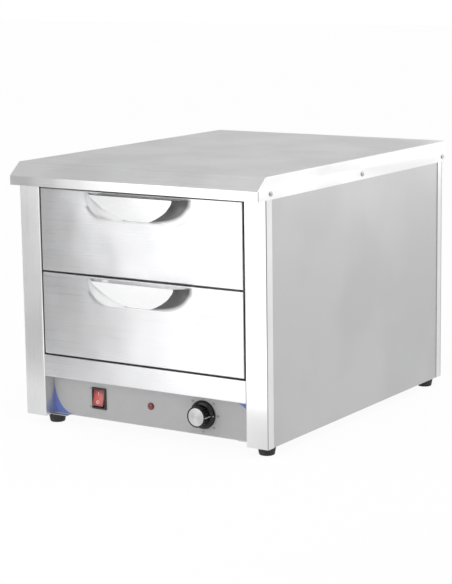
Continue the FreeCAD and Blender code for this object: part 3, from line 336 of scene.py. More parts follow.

# %% [markdown]
# ## Finishes of the scoop
# The pull's tongue is a much paler copy of the door's steel: a painted highlight. The wall behind it carries
# painted shade: it is dark where it leaves the tongue and pale where it runs out into the door, and its left end
# is painted pale all over. Two ramps over the piece's own coordinates paint this, and the larger of the two wins.

# %% Tongue and wall
# painted highlight: the tongue and the pocket's plate are a much paler copy of the door's steel
tongue_painted_highlight_steel = brushed_steel("tongue_painted_highlight_steel", (0.93, 0.93, 0.935), "x", rough=(0.2, 0.3), cloud=0.02)
# painted shade: the wall is painted dark by the tongue, and pale towards the door and at its left end
wall_painted_shade_steel = brushed_steel("wall_painted_shade_steel", (0.5, 0.5, 0.5), "x", rough=(0.25, 0.35))
WALL_PAINTED_SHADE, WALL_PAINTED_LIGHT = (0.12, 0.12, 0.122), (0.9, 0.9, 0.905)
wall_place = add_node(wall_painted_shade_steel, "ShaderNodeSeparateXYZ", {0: object_coordinates(wall_painted_shade_steel)}).outputs
wall_painted_shade_ramp = reckon(wall_painted_shade_steel, "MAXIMUM",
                    spread(wall_painted_shade_steel, wall_place["Y"], 0.0, 0.7, FRONT - 0.0062, FRONT - 0.0002),
                    spread(wall_painted_shade_steel, wall_place["X"], 1.0, 0.0, -0.04, -0.01))
link(wall_painted_shade_steel, two_tones(wall_painted_shade_steel, wall_painted_shade_ramp, WALL_PAINTED_SHADE, WALL_PAINTED_LIGHT),
     wall_painted_shade_steel.node_tree.nodes["Principled BSDF"].inputs["Base Color"])
print("scoop finishes ready")

# %% [markdown]
# ## Dressing the CAD parts that stay
# A CAD part brought in whole has one empty finish. Giving it a new one through its material slots changes only
# how it looks, so its shape and place stay as the drawing has them.

# %% Give each kept part its finish


def dress(material, *names):
    for name in names:
        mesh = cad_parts[name].data
        mesh.materials.clear()
        mesh.materials.append(material)


both = ("lower", "upper")
dress(shell_steel, "top_cover", "left_front_post", "right_front_post", "rear_cover", "lower_fascia", "head_rail",
      "middle_rail", "lower_front_skin", "upper_front_skin", "lower_handle", "upper_handle", "control_panel")
dress(side_painted_shade_steel, "left_side_panel", "right_side_panel")
dress(liner_steel, "inner_liner", "base_pan", "element_brackets", "lower_front_inner", "upper_front_inner",
      "lower_pan_rails", "upper_pan_rails", "lower_rear_rail", "upper_rear_rail")
dress(pan_steel, "lower_pan", "upper_pan")
dress(zinc, *[f"{drawer}_{part}" for drawer in both for part in ("slide_rails", "slide_middles", "slide_inners")])
dress(screw_metal, "cover_screws", "rear_screws", "foot_screws", "thermostat_shaft", "knob_disc")
dress(sheath, "heating_element")
dress(copper, "capillary_bulb", "capillary_tube")
dress(wool, "insulation_left", "insulation_right", "insulation_top", "insulation_rear",
      "lower_front_insulation", "upper_front_insulation")
dress(rubber, "front_left_foot", "front_right_foot", "rear_left_foot", "rear_right_foot")
dress(knob_black, "control_knob")
dress(switch_black, "rocker_housing", "switch_rocker")
dress(case_black, "thermostat_body", "pilot_lamp_holder", "pilot_lamp_lens")
dress(terminal_white, "terminal_block")
dress(sleeve_white, "wiring_loom")
dress(gland_grey, "cable_gland", "gland_locknut")
print("dressed", sum(1 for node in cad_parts.values() if node.data.materials))

# %% [markdown]
# ## Tools for modelling by hand
# Every new piece starts as a primitive at its real size and place, and is then shaped in edit mode as a person
# would: faces and edges are picked by where they are or which way they look, and an operator moves, cuts or
# rounds them. These short helpers do the picking, so that each piece below reads as a list of steps.

# %% Helpers: add, pick, shape, finish
FACING = (math.pi / 2, 0, 0)  # stands a flat primitive up, so that it looks to the front


def settled(name):
    """Names the new piece and moves its place, turn and size into its mesh."""
    bpy.ops.object.transform_apply(location=True, rotation=True, scale=True)
    bpy.context.object.name = name
    return bpy.context.object


def add_block(name, low, high):
    """A box between two corners, with its place in its mesh."""
    deselect_pieces()
    low, high = Vector(low), Vector(high)
    bpy.ops.mesh.primitive_cube_add(size=1, location=(low + high) / 2, scale=high - low)
    return settled(name)


def add_disc(name, centre, radius, sides=48):
    """A filled disc that looks to the front, with its place in its mesh."""
    deselect_pieces()
    bpy.ops.mesh.primitive_circle_add(vertices=sides, radius=radius, fill_type="NGON", location=centre,
                                      rotation=FACING)
    return settled(name)


def alone(piece):
    """Picks one piece and nothing else."""
    deselect_pieces()
    bpy.context.view_layer.objects.active = piece
    piece.select_set(True)


def deselect_mesh():
    bpy.ops.mesh.select_all(action="DESELECT")


def edit(piece):
    """Opens one piece in edit mode with nothing picked."""
    alone(piece)
    bpy.ops.object.mode_set(mode="EDIT")
    deselect_mesh()


def done():
    bpy.ops.object.mode_set(mode="OBJECT")


def pick_all():
    bpy.ops.mesh.select_all(action="SELECT")


def pull(x=0, y=0, z=0):
    """Extrudes what is picked by a way in metres."""
    bpy.ops.mesh.extrude_region_move(TRANSFORM_OT_translate={"value": (x, y, z)})


def shift(x=0, y=0, z=0):
    """Moves what is picked by a way in metres."""
    bpy.ops.transform.translate(value=(x, y, z))


def scale_about(point, x=1, y=1, z=1):
    """Scales what is picked, seen from a point that stays where it is."""
    bpy.ops.transform.resize(value=(x, y, z), center_override=point)


def soften(width, segments=3):
    """Bevels the picked edges."""
    bpy.ops.mesh.bevel(offset=width, segments=segments, affect="EDGES")


def pick(kind, test):
    """Picks the VERT, EDGE or FACE elements whose middle and direction pass a test."""
    bpy.ops.mesh.select_mode(type=kind)
    deselect_mesh()
    mesh = bmesh.from_edit_mesh(bpy.context.edit_object.data)
    if kind == "VERT":
        for vert in mesh.verts:
            vert.select_set(bool(test(vert.co, vert.normal)))
    elif kind == "EDGE":
        for edge in mesh.edges:
            first, last = edge.verts[0].co, edge.verts[1].co
            edge.select_set(bool(test((first + last) / 2, (last - first).normalized())))
    else:
        for face in mesh.faces:
            face.select_set(bool(test(face.calc_center_median(), face.normal)))
    mesh.select_flush_mode()
    bmesh.update_edit_mesh(bpy.context.edit_object.data)


def cut_away(test):
    """Deletes the faces that pass a test."""
    pick("FACE", test)
    bpy.ops.mesh.delete(type="FACE")


def slice_all(point, normal):
    """Cuts the whole piece along a plane and keeps both sides."""
    pick_all()
    bpy.ops.mesh.bisect(plane_co=point, plane_no=normal)
    deselect_mesh()


def round_sharp(radius, segments=3, sharpness=25):
    """Rounds every fold sharper than an angle."""
    bpy.ops.mesh.select_mode(type="EDGE")
    deselect_mesh()
    bpy.ops.mesh.edges_select_sharp(sharpness=math.radians(sharpness))
    soften(radius, segments)
    deselect_mesh()


def modify(piece, kind, **settings):
    """Adds a modifier, sets it and applies it."""
    bpy.context.view_layer.objects.active = piece
    added = piece.modifiers.new(kind.title(), kind)
    for setting, value in settings.items():
        setattr(added, setting, value)
    bpy.ops.object.modifier_apply(modifier=added.name)


def start_turning(piece):
    """Opens a disc and lifts a second face off it, so that the first stays behind as its back."""
    edit(piece)
    pick_all()
    pull()


def step_out(ahead, ratio, centre):
    """Pushes the picked face forward by millimetres and scales it about the turning axis."""
    pull(y=-ahead / 1000)
    scale_about(centre, x=ratio, z=ratio)


def turn_rings(centre, radius, rings):
    """Steps the picked face out ring by ring, each to a radius of its own."""
    for ahead, ring in rings:
        step_out(ahead, ring / radius, centre)
        radius = ring


def face_outwards():
    pick_all()
    bpy.ops.mesh.normals_make_consistent(inside=False)


def close_up():
    """Merges doubled points and turns every face outwards."""
    pick_all()
    bpy.ops.mesh.remove_doubles(threshold=0.000005)
    face_outwards()


def make_sheet(piece, gauge, even=True):
    """Gives open faces a wall that lies behind them."""
    modify(piece, "SOLIDIFY", thickness=gauge, offset=-1, use_even_offset=even)


def finish_piece(piece, body, material, slot, *stands_for, smooth=35):
    """Smooths a piece, gives it its finish and hands it to the CAD body that carries it."""
    alone(piece)
    bpy.ops.object.shade_smooth_by_angle(angle=math.radians(smooth))
    modify(piece, "WEIGHTED_NORMAL", keep_sharp=True)
    if not piece.data.materials:
        piece.data.materials.append(material)
    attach(piece, body)
    if stands_for:
        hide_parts(*stands_for)
    print(piece.name, "faces", len(piece.data.polygons))
    return piece


# %% [markdown]
# ## The top cover
# The cover is one sheet folded down on all four sides, with a sloping front edge above a narrow lip. It starts
# as a closed box. One cut marks the lip's upper fold, and pushing the top front edge back makes the slope.
# Opening the bottom turns the box into a tray, rounding its edges gives the bend radius, and Solidify gives the
# sheet its thickness last, so that every fold keeps the same gauge.

# %% Top cover
SHEET, COVER_BEND = 0.0012, 0.0016
NEAR = 1e-4
SLOPE_RUN, LIP_RETURN, LIP_EDGE = 0.0255, 0.009, 0.0007
LIP_FOLD, SKIRT_EDGE = spot(0, 0, 407.4).z, spot(0, 0, 406.0).z
low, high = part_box("top_cover")
cover = add_block("cover_sheet", low, high)


def on_lip_foot(place, along):
    """The lip's lower front edge."""
    return place.y < low.y + NEAR and place.z < low.z + NEAR and abs(along.x) > 0.99


edit(cover)
slice_all((0, 0, LIP_FOLD), (0, 0, 1))
pick("VERT", lambda place, way: place.y < low.y + NEAR and place.z > high.z - NEAR)
shift(y=SLOPE_RUN)
cut_away(lambda place, way: way.z < -0.9)
pick_all()
bpy.ops.mesh.dissolve_limited(angle_limit=math.radians(1))
round_sharp(COVER_BEND, 4)
pick("FACE", lambda place, way: place.y > high.y - COVER_BEND)
bpy.ops.mesh.bisect(plane_co=(0, 0, SKIRT_EDGE), plane_no=(0, 0, 1))
cut_away(lambda place, way: place.y > high.y - COVER_BEND and place.z < SKIRT_EDGE)
pick("EDGE", on_lip_foot)
bpy.ops.mesh.extrude_edges_move(TRANSFORM_OT_translate={"value": (0, LIP_RETURN, 0)})
done()
make_sheet(cover, SHEET)
edit(cover)
pick("EDGE", on_lip_foot)
soften(LIP_EDGE)
done()
finish_piece(cover, "cabinet", shell_steel, "shell_steel", "top_cover")

# %% [markdown]
# ## The corner posts
# Each post is a strip of sheet folded twice: once round the body's corner, and once back into the drawer
# opening. Three sides of a box are kept, and the rest is opened. The bend radius is small but it matters: with a
# darker finish of its own, it draws the fine line that runs down the corner.

# %% Front posts
POST_BEND = 0.0017
RETURN_BACK = spot(0, 17, 0).y
for side, name in ((-1, "left_front_post"), (1, "right_front_post")):
    low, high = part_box(name)
    post = add_block(name.replace("front_post", "corner_post"), low, high)
    outer = high.x if side > 0 else low.x
    edit(post)
    slice_all((0, RETURN_BACK, 0), (0, 1, 0))
    cut_away(lambda place, way: abs(way.z) > 0.9 or way.y > 0.9
             or (abs(place.x - outer) < NEAR and place.y > RETURN_BACK))
    round_sharp(POST_BEND, 4)
    post.data.materials.append(shell_steel_side)
    post.data.materials.append(bend_steel)
    pick("FACE", lambda place, way: abs(place.x - outer) < POST_BEND and place.y < low.y + POST_BEND
         and abs(way.x) > 0.3 and abs(way.y) > 0.3)
    post.active_material_index = 1
    bpy.ops.object.material_slot_assign()
    done()
    make_sheet(post, SHEET)
    finish_piece(post, "cabinet", shell_steel_side, "shell_steel", name)

# %% [markdown]
# ## The drawer fronts
# A front is a shallow tray with its edges folded back. A box that loses its back gives its five faces, the bend
# radius rounds them, and Solidify makes them sheet.

# %% Tray of a drawer front
DOOR_SHEET, DOOR_BEND = 0.001, 0.0016


def make_tray(drawer):
    low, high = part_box(f"{drawer}_front_skin")
    tray = add_block(f"{drawer}_drawer_front", low, high)
    edit(tray)
    cut_away(lambda place, way: way.y > 0.9)
    round_sharp(DOOR_BEND, 4)
    done()
    make_sheet(tray, DOOR_SHEET)
    return tray


# %% [markdown]
# ## The pressed scoop
# The pull is a scoop of the same steel, welded on so well that no edge shows. It could be a loft, but a person
# would draw its tongue and its outline on the door as two shapes and bridge them: the wall between is nearly
# straight and a little hollow. Both shapes are tabs with two rounded lower corners. The door's tab also gets a
# narrow skirt that lies on the door, so that the weld blends in.

# %% Its two outlines, its wall and its finishes
SCOOP_HALF, SCOOP_HIGH, SCOOP_CORNER = 0.103, 0.0432, 0.0395
TONGUE_HALF, TONGUE_HIGH, TONGUE_CORNER = 0.0808, 0.0418, 0.0448
TONGUE_STRETCH, TONGUE_CURVE, TONGUE_FOOT = 1.46, 0.35, 0.0016
ON_DOOR = 0.00003
WELD_WIDER, WELD_LOWER, WELD_SLACK = 1.07, 1.12, 0.0008
WALL_BOW, WALL_BEND = -0.05, 0.0007


def rounded_tab(name, half_width, top, high, corner, stretch, curve, lean=(0, 0), steps=14):
    """A face with its two lower corners rounded, leaning out by lean at its top and at its foot."""
    deselect_pieces()
    bpy.ops.mesh.primitive_plane_add(size=1, location=(0, FRONT, top - high / 2), rotation=FACING)
    bpy.ops.transform.resize(value=(2 * half_width / stretch, 1, high))
    tab = settled(name)
    edit(tab)
    pick("VERT", lambda place, way: place.z > top - high / 2)
    shift(y=-lean[0])
    pick("VERT", lambda place, way: place.z < top - high / 2)
    shift(y=-lean[1])
    bpy.ops.mesh.bevel(offset=corner, segments=steps, affect="VERTICES", profile=curve)
    pick_all()
    scale_about((0, FRONT, top), x=stretch)
    done()
    return tab


def face_forward(piece):
    """Turns an open shell so that its faces look to the front."""
    forward = sum(face.normal.y * face.area for face in piece.data.polygons)
    if forward > 0:
        edit(piece)
        pick_all()
        bpy.ops.mesh.flip_normals()
        done()


def inside_outline(place, top):
    """True on the outline itself, and not on the skirt round it."""
    across, below = abs(place.x), top - place.z
    corner = math.hypot(max(across - SCOOP_HALF + SCOOP_CORNER, 0), max(below - SCOOP_HIGH + SCOOP_CORNER, 0))
    return corner < SCOOP_CORNER + WELD_SLACK


def scoop_faces(scoop, top):
    """Gives the skirt, the tongue and the wall between them their own finishes: a painted highlight on the tongue,
    painted shade on the wall.
    """
    for finish in (drawer_steel, tongue_painted_highlight_steel, wall_painted_shade_steel):
        scoop.data.materials.append(finish)
    edit(scoop)
    tongue = max(face.calc_area() for face in bmesh.from_edit_mesh(scoop.data).faces)
    pick("FACE", lambda place, way: place.y < FRONT - NEAR)
    scoop.active_material_index = 2
    bpy.ops.object.material_slot_assign()
    deselect_mesh()
    mesh = bmesh.from_edit_mesh(scoop.data)
    for face in mesh.faces:
        face.select_set(face.calc_area() > 0.5 * tongue)
    scoop.active_material_index = 1
    bpy.ops.object.material_slot_assign()
    done()


def make_scoop(drawer):
    """The tongue, the outline on the door and the curved wall between them, as one pressed sheet."""
    handle_low, handle_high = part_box(f"{drawer}_handle")
    top, proud = handle_high.z, FRONT - handle_low.y
    door = rounded_tab("outline", SCOOP_HALF, top, SCOOP_HIGH, SCOOP_CORNER, 1.0, 0.5, (ON_DOOR, ON_DOOR))
    scoop = rounded_tab(f"{drawer}_scoop", TONGUE_HALF, top, TONGUE_HIGH, TONGUE_CORNER, TONGUE_STRETCH,
                        TONGUE_CURVE, (proud, TONGUE_FOOT))
    edit(door)
    pick("EDGE", lambda place, along: place.z < top - NEAR)
    bpy.ops.mesh.extrude_edges_move()
    scale_about((0, FRONT, top), x=WELD_WIDER, z=WELD_LOWER)
    pick("FACE", lambda place, way: abs(place.x) < 0.001 and place.z > top - 0.03)
    bpy.ops.mesh.delete(type="ONLY_FACE")
    pick("EDGE", lambda place, along: place.z < top - NEAR and inside_outline(place, top))
    done()
    edit(scoop)
    pick("EDGE", lambda place, along: place.z < top - NEAR)
    done()
    deselect_pieces()
    door.select_set(True)
    scoop.select_set(True)
    bpy.context.view_layer.objects.active = scoop
    bpy.ops.object.join()
    bpy.ops.object.mode_set(mode="EDIT")
    bpy.ops.mesh.bridge_edge_loops(number_cuts=8, interpolation="LINEAR", profile_shape_factor=WALL_BOW)
    face_outwards()
    round_sharp(WALL_BEND, 2, 22)
    done()
    face_forward(scoop)
    scoop_faces(scoop, top)
    make_sheet(scoop, DOOR_SHEET, even=False)
    return scoop


# %% [markdown]
# ## Both drawer fronts
# The two drawers are alike, so one loop makes them. Behind each scoop a thin plate of the tongue's pale steel
# lies on the door, just inside the outline: it is a painted highlight on the back of the pocket that fingers reach
# into.

# %% Tray, pocket and scoop of each drawer
POCKET_HALF, POCKET_HIGH, POCKET_CORNER = 0.101, 0.041, 0.038
POCKET_PROUD, POCKET_SHEET = 0.00012, 0.0001
for drawer in both:
    tray = make_tray(drawer)
    finish_piece(tray, f"{drawer}_drawer", drawer_steel, "shell_steel", f"{drawer}_front_skin")
    # painted highlight: a pale plate on the back of the pocket
    back = rounded_tab(f"{drawer}_pocket_painted_highlight", POCKET_HALF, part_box(f"{drawer}_handle")[1].z, POCKET_HIGH,
                       POCKET_CORNER, 1.0, 0.5, (POCKET_PROUD, POCKET_PROUD))
    make_sheet(back, POCKET_SHEET, even=False)
    finish_piece(back, f"{drawer}_drawer", tongue_painted_highlight_steel, "shell_steel")
    scoop = make_scoop(drawer)
    finish_piece(scoop, f"{drawer}_drawer", drawer_steel, "shell_steel", f"{drawer}_handle", smooth=50)

# %% [markdown]
# ## The fascia
# Under the drawers runs a channel of the same sheet, with its back left open. It starts as a box that loses its
# back and its ends. Its two long bends get the same radius as the posts, so that light breaks on them alike.

# %% Fascia
low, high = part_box("lower_fascia")
fascia = add_block("fascia_channel", low, high)
edit(fascia)
cut_away(lambda place, way: way.y > 0.9 or abs(way.x) > 0.9)
round_sharp(POST_BEND, 4)
done()
make_sheet(fascia, SHEET)
finish_piece(fascia, "cabinet", drawer_steel, "shell_steel", "lower_fascia")

# %% [markdown]
# ## Finishes of the control panel
# The panel under the fascia carries a satin plastic overlay with a blue swoosh in two of its corners. Overlay,
# ink and paint are all matt skins that differ only in colour and in how rough they are. The pilot lamp is clear
# red plastic with a lamp behind, so it gets a little emission besides its gloss: a pure diffuse red would look
# like painted wood. The rocker is clear red plastic too, and its emission is a painted highlight in its middle.

# %% Overlay, ink, red plastic and spun aluminium
overlay_grey, _ = plain_finish("overlay_grey", (0.455, 0.455, 0.46), (0.42, 0.5), speck=1400, bump=0.12, vary=0.02)
overlay_blue, _ = plain_finish("overlay_blue", (0.13, 0.19, 0.52), (0.4, 0.48), speck=1400, bump=0.12, vary=0.04)
ink_dark, _ = plain_finish("ink_dark", (0.05, 0.05, 0.055), (0.5, 0.6), speck=1400)
mark_white, _ = plain_finish("mark_white", (0.8, 0.8, 0.78), (0.4, 0.5), speck=1400)
rocker_red, rocker_shader = plain_finish("rocker_red", (0.26, 0.035, 0.03), (0.12, 0.2), speck=700, vary=0.15)
# painted highlight: the rocker's emission, coloured further down by a round gradient about its middle
rocker_shader.inputs["Emission Strength"].default_value = 0.3
rocker_shader.inputs["Coat Weight"].default_value = 0.6
lens_red, lens_shader = plain_finish("lens_red", (0.14, 0.012, 0.012), (0.08, 0.16), speck=500, vary=0.3)
lens_shader.inputs["Emission Color"].default_value = (1.0, 0.1, 0.08, 1)
lens_shader.inputs["Emission Strength"].default_value = 0.02
lens_shader.inputs["Coat Weight"].default_value = 0.7
spun_disc, spun_shader = plain_finish("disc_aluminium", (0.54, 0.54, 0.545), (0.2, 0.28), metallic=1.0, speck=900,
                                      vary=0.04)
spun_shader.inputs["Anisotropic"].default_value = 0.85
dress(overlay_grey, "control_panel")
print("control finishes ready")

# %% [markdown]
# ## The blue corner wedges
# Each wedge is a square whose inner corner is cut back in a hollow curve. A vertex bevel with a low profile does
# exactly this, and stretching the square afterwards gives the curve its reach along each edge.

# %% Corner wedges
RECESS = 25.0
FILM = 0.00012
WEDGE_CUT, WEDGE_HOLLOW = 0.985, 0.1


def corner_wedge(name, corner, inner):
    """A thin wedge between a corner of the panel and the hollow curve that faces the other corner."""
    deselect_pieces()
    bpy.ops.mesh.primitive_plane_add(size=1, location=(0.5, 0, 0.5), rotation=FACING)
    wedge = settled(name)
    edit(wedge)
    pick("VERT", lambda place, way: place.x > 0.5 and place.z > 0.5)
    bpy.ops.mesh.bevel(offset=WEDGE_CUT, segments=14, affect="VERTICES", profile=WEDGE_HOLLOW)
    pick_all()
    reach = spot(*inner) - spot(*corner)
    scale_about((0, 0, 0), x=abs(reach.x), z=abs(reach.z))
    if reach.x < 0:
        bpy.ops.transform.rotate(value=math.pi, orient_axis="Y", center_override=(0, 0, 0))
    shift(*spot(*corner))
    pull(y=-FILM)
    face_outwards()
    done()
    return finish_piece(wedge, "cabinet", overlay_blue, "shell_steel")


corner_wedge("wedge_low_left", (-199.3, RECESS, 2.3), (-163, RECESS, 53))
corner_wedge("wedge_high_right", (199.3, RECESS, 68.9), (138, RECESS, 33))

# %% [markdown]
# ## Numbers and marks
# Printed marks are text turned into a mesh and made a tenth of a millimetre thick. A texture could print them
# too, but only an image would stay as crisp, and real edges also survive an export.

# %% Dial numbers and switch marks
KNOB_X, KNOB_Z = 102.5, 35.0


def printed(text, x, z, tall, material, y=RECESS, ahead=0.1):
    """Lettering standing up on a plane that looks to the front, centred on a point."""
    deselect_pieces()
    bpy.ops.object.text_add(location=(0, 0, 0))
    letters = bpy.context.object
    letters.data.body = text
    letters.data.align_x = "CENTER"
    letters.data.align_y = "CENTER"
    letters.data.size = tall / 1000
    letters.data.resolution_u = 4
    letters.data.extrude = ahead / 1000
    bpy.ops.object.convert(target="MESH")
    letters.rotation_euler = FACING
    letters.location = spot(x, y, z)
    bpy.ops.object.transform_apply(location=True, rotation=True, scale=True)
    letters.data.materials.clear()
    letters.data.materials.append(material)
    return letters


def joined(pieces, name):
    deselect_pieces()
    for piece in pieces:
        piece.select_set(True)
    bpy.context.view_layer.objects.active = pieces[0]
    bpy.ops.object.join()
    pieces[0].name = name
    return pieces[0]


def bar(name, low, high, material):
    """A small printed bar between two corners in millimetres."""
    mark = add_block(name, spot(*low), spot(*high))
    edit(mark)
    pick("FACE", lambda place, way: way.y < -0.9)
    bpy.ops.mesh.inset(thickness=0.00005)
    done()
    mark.data.materials.append(material)
    return mark


dial = []
for step, number in enumerate(("0", "30", "40", "50", "60", "70", "80", "90")):
    angle = math.radians(-90 - 45 * step)
    across, rise = math.cos(angle), math.sin(angle)
    dial.append(printed(number, KNOB_X + 28.2 * across, KNOB_Z + 28.2 * rise, 5.2, ink_dark))
finish_piece(joined(dial, "dial_numbers"), "cabinet", ink_dark, "knob_plastic")
switch_marks = [bar("mark_on", (-124.6, RECESS - 0.1, 51.4), (-121.6, RECESS, 52.4), ink_dark),
                printed("O", -123.2, 20.5, 5.0, ink_dark)]
finish_piece(joined(switch_marks, "switch_marks"), "cabinet", ink_dark, "switch_plastic")

# %% [markdown]
# ## The knob
# The knob is a turned shape with flutes. It is drawn as a person would turn it: a disc is the skirt's back, and
# each extrude-and-scale step makes the next ring, out to the hollow in its face. The flutes are made last, by
# pulling every fourth line of points on the grip towards the axis.

# %% Knob body
SKIRT, HOLLOW, FLUTE_PINCH = 0.0235, 0.8, 0.93
GRIP_LOW, GRIP_HIGH = 0.0168, 0.01745
# each ring: millimetres ahead of the last one, and its radius in metres
KNOB_RINGS = ((1.3, 0.0235), (0.6, 0.0232), (1.4, 0.0216), (1.0, 0.0192), (0.5, 0.0176), (0.8, 0.0173),
              (7.0, 0.0172), (7.0, 0.0172), (0.8, 0.0171), (0.5, 0.0166), (0.1, 0.0160), (0.0, 0.0148))
KNOB_SIDES = 96
axis = spot(KNOB_X, RECESS - 1, KNOB_Z)
knob = add_disc("fluted_knob", axis, SKIRT, KNOB_SIDES)
start_turning(knob)
turn_rings(axis, SKIRT, KNOB_RINGS)
step_out(-HOLLOW, 0.995, axis)
close_up()


def on_flute(place, way):
    """Every fourth line of points along the grip's wall."""
    radius = math.hypot(place.x - axis.x, place.z - axis.z)
    line = round(math.degrees(math.atan2(place.z - axis.z, place.x - axis.x)) * KNOB_SIDES / 360)
    return GRIP_LOW < radius < GRIP_HIGH and line % 4 == 0 and place.y < spot(0, 19.5, 0).y


pick("VERT", on_flute)
scale_about(axis, x=FLUTE_PINCH, z=FLUTE_PINCH)
done()
finish_piece(knob, "knob", knob_black, "knob_plastic", "control_knob", smooth=28)

# %% [markdown]
# ## The disc in the knob
# A thin aluminium disc sits in the hollow. Its face was spun, so its scratches are circles: highlights smear
# outwards from its middle, which is why the tangent is the way from the middle to each point.

# %% Disc
DISC_FRONT, DISC_RADIUS, DISC_GAUGE = 3.8, 0.0147, 0.00045
disc = add_disc("knob_cap_disc", spot(KNOB_X, DISC_FRONT, KNOB_Z), DISC_RADIUS, 64)
edit(disc)
pick_all()
pull(y=-DISC_GAUGE)
for inset, ahead in ((0.0003, 0.0001), (0.0034, 0), (0.0034, 0), (0.0034, 0)):
    bpy.ops.mesh.inset(thickness=inset)
    shift(y=-ahead)
face_outwards()
done()
finish_piece(disc, "knob", spun_disc, "disc_aluminium", "knob_disc", smooth=20)
disc_face = spot(0, DISC_FRONT - 0.6, 0).y
from_middle = object_coordinates(spun_disc, move=(-axis.x, -disc_face, -axis.z))
outward = add_node(spun_disc, "ShaderNodeVectorTransform", {0: from_middle})
outward.vector_type = "VECTOR"
outward.convert_from = "OBJECT"
outward.convert_to = "WORLD"
link(spun_disc, outward.outputs[0], spun_shader.inputs["Tangent"])

# %% [markdown]
# ## The pointer
# The pointer is a moulded white rib that runs along the grip and out over the skirt. One block stands along the
# grip, and its back face is pulled outwards to make the foot on the skirt.

# %% Pointer
POINTER_FOOT, POINTER_EDGE = (0.0052, 0.0012), 0.00012
pointer = add_block("knob_pointer", spot(KNOB_X + 15.6, 3.6, KNOB_Z - 0.5), spot(KNOB_X + 17.6, 19.6, KNOB_Z + 0.5))
edit(pointer)
pick("FACE", lambda place, way: way.y > 0.9)
pull(*POINTER_FOOT)
pick("EDGE", lambda place, along: abs(along.z) < 0.5 and place.x > spot(KNOB_X + 17, 0, 0).x)
soften(POINTER_EDGE, 2)
done()
finish_piece(pointer, "knob", mark_white, "knob_plastic")

# %% [markdown]
# ## The rocker switch
# The switch is a black frame clipped in the panel and a rocker that tips on a pin. The frame is one block: its
# back is inset and pulled out as the housing behind the panel, and its front is inset and pushed in as the
# window.

# %% Switch frame
SWITCH_X, SWITCH_Z = -105.0, 36.4
FRAME_HALF, FRAME_HALF_HIGH, FRAME_FRONT = 14.5, 18.25, 22.5
RIM, SOFT_EDGE = 0.0022, 0.0009
LEDGE, LEDGE_DEEP, WINDOW_DEEP, HOUSING_DEEP = 0.0003, 0.0006, 0.0155, 0.026
frame_face = spot(0, FRAME_FRONT + 0.1, 0).y
housing = add_block("switch_frame", spot(SWITCH_X - FRAME_HALF, FRAME_FRONT, SWITCH_Z - FRAME_HALF_HIGH),
                    spot(SWITCH_X + FRAME_HALF, RECESS, SWITCH_Z + FRAME_HALF_HIGH))
edit(housing)
pick("EDGE", lambda place, along: abs(along.y) > 0.9 or place.y < frame_face)
soften(SOFT_EDGE)
pick("FACE", lambda place, way: way.y > 0.9)
bpy.ops.mesh.inset(thickness=RIM)
pull(y=HOUSING_DEEP)
pick("FACE", lambda place, way: way.y < -0.99 and place.y < frame_face)
bpy.ops.mesh.inset(thickness=RIM)
pull(y=LEDGE_DEEP)
bpy.ops.mesh.inset(thickness=LEDGE)
pull(y=WINDOW_DEEP)
done()
finish_piece(housing, "cabinet", switch_black, "switch_plastic", "rocker_housing", smooth=30)

# %% [markdown]
# ## The rocker
# The rocker is a block whose front is folded in along its middle, so that a finger can press either half. It
# rests with its top pressed in. Its marks are joined to it before it is turned, so that they lean with it.

# %% Rocker and its two marks
TILT = math.radians(11.0)
KEY_HALF, KEY_HALF_HIGH, KEY_FRONT = 10.9, 13.6, 21.0
KEY_FOLD, KEY_TAPER = 0.0013, 0.7
pivot = spot(SWITCH_X, 29.0, SWITCH_Z)
key = add_block("rocker_key", spot(SWITCH_X - KEY_HALF, KEY_FRONT, SWITCH_Z - KEY_HALF_HIGH),
                spot(SWITCH_X + KEY_HALF, 33.0, SWITCH_Z + KEY_HALF_HIGH))
edit(key)
slice_all(pivot, (0, 0, 1))
pick("VERT", lambda place, way: abs(place.z - pivot.z) < NEAR and place.y < pivot.y)
shift(y=KEY_FOLD)
pick("VERT", lambda place, way: place.y > pivot.y and abs(place.z - pivot.z) > NEAR)
scale_about(pivot, z=KEY_TAPER)
pick("EDGE", lambda place, along: place.y < pivot.y and not (abs(place.z - pivot.z) < NEAR and abs(along.x) > 0.9))
soften(SOFT_EDGE)
done()
key.data.materials.append(rocker_red)
on_mark = bar("rocker_on", (SWITCH_X - 0.45, 20.88, SWITCH_Z + 5.0), (SWITCH_X + 0.45, 21.9, SWITCH_Z + 10.0),
              mark_white)
off_mark = printed("O", SWITCH_X, SWITCH_Z - 7.5, 8.0, mark_white, 21.5, 0.3)
rocker = joined([key, on_mark, off_mark], "rocker_key")
edit(rocker)
pick_all()
bpy.ops.transform.rotate(value=TILT, orient_axis="X", center_override=pivot)
done()
finish_piece(rocker, "rocker", rocker_red, "rocker_red", "switch_rocker", smooth=30)

# %% [markdown]
# ## The rocker's painted highlight
# The rocker's middle is made to glow and its rim stays dark: this is a painted highlight. A round
# gradient about the rocker's middle, drawn out a little upwards, sets the colour of the emission.

# %% Painted highlight in the rocker's middle
PAINTED_HIGHLIGHT_REACH = 0.016
across, rise = 1 / PAINTED_HIGHLIGHT_REACH, 0.8 / PAINTED_HIGHLIGHT_REACH
painted_highlight_place = object_coordinates(rocker_red, (across, 0, rise), move=(-pivot.x * across, 0, -pivot.z * rise))
painted_highlight_gradient = add_node(rocker_red, "ShaderNodeTexGradient", {"Vector": painted_highlight_place})
painted_highlight_gradient.gradient_type = "SPHERICAL"
link(rocker_red, two_tones(rocker_red, painted_highlight_gradient.outputs["Fac"], (0.05, 0.0, 0.0), (1.0, 0.17, 0.15)),
     rocker_shader.inputs["Emission Color"])
print("rocker glow reaches", round(1000 * PAINTED_HIGHLIGHT_REACH), "mm")

# %% [markdown]
# ## The pilot lamp
# A pilot lamp is a push-in cap of red plastic: a low ring, which keeps its CAD shape, and a lens that stands a
# little higher. Short steps out make the lens, and the last rings close its dome.

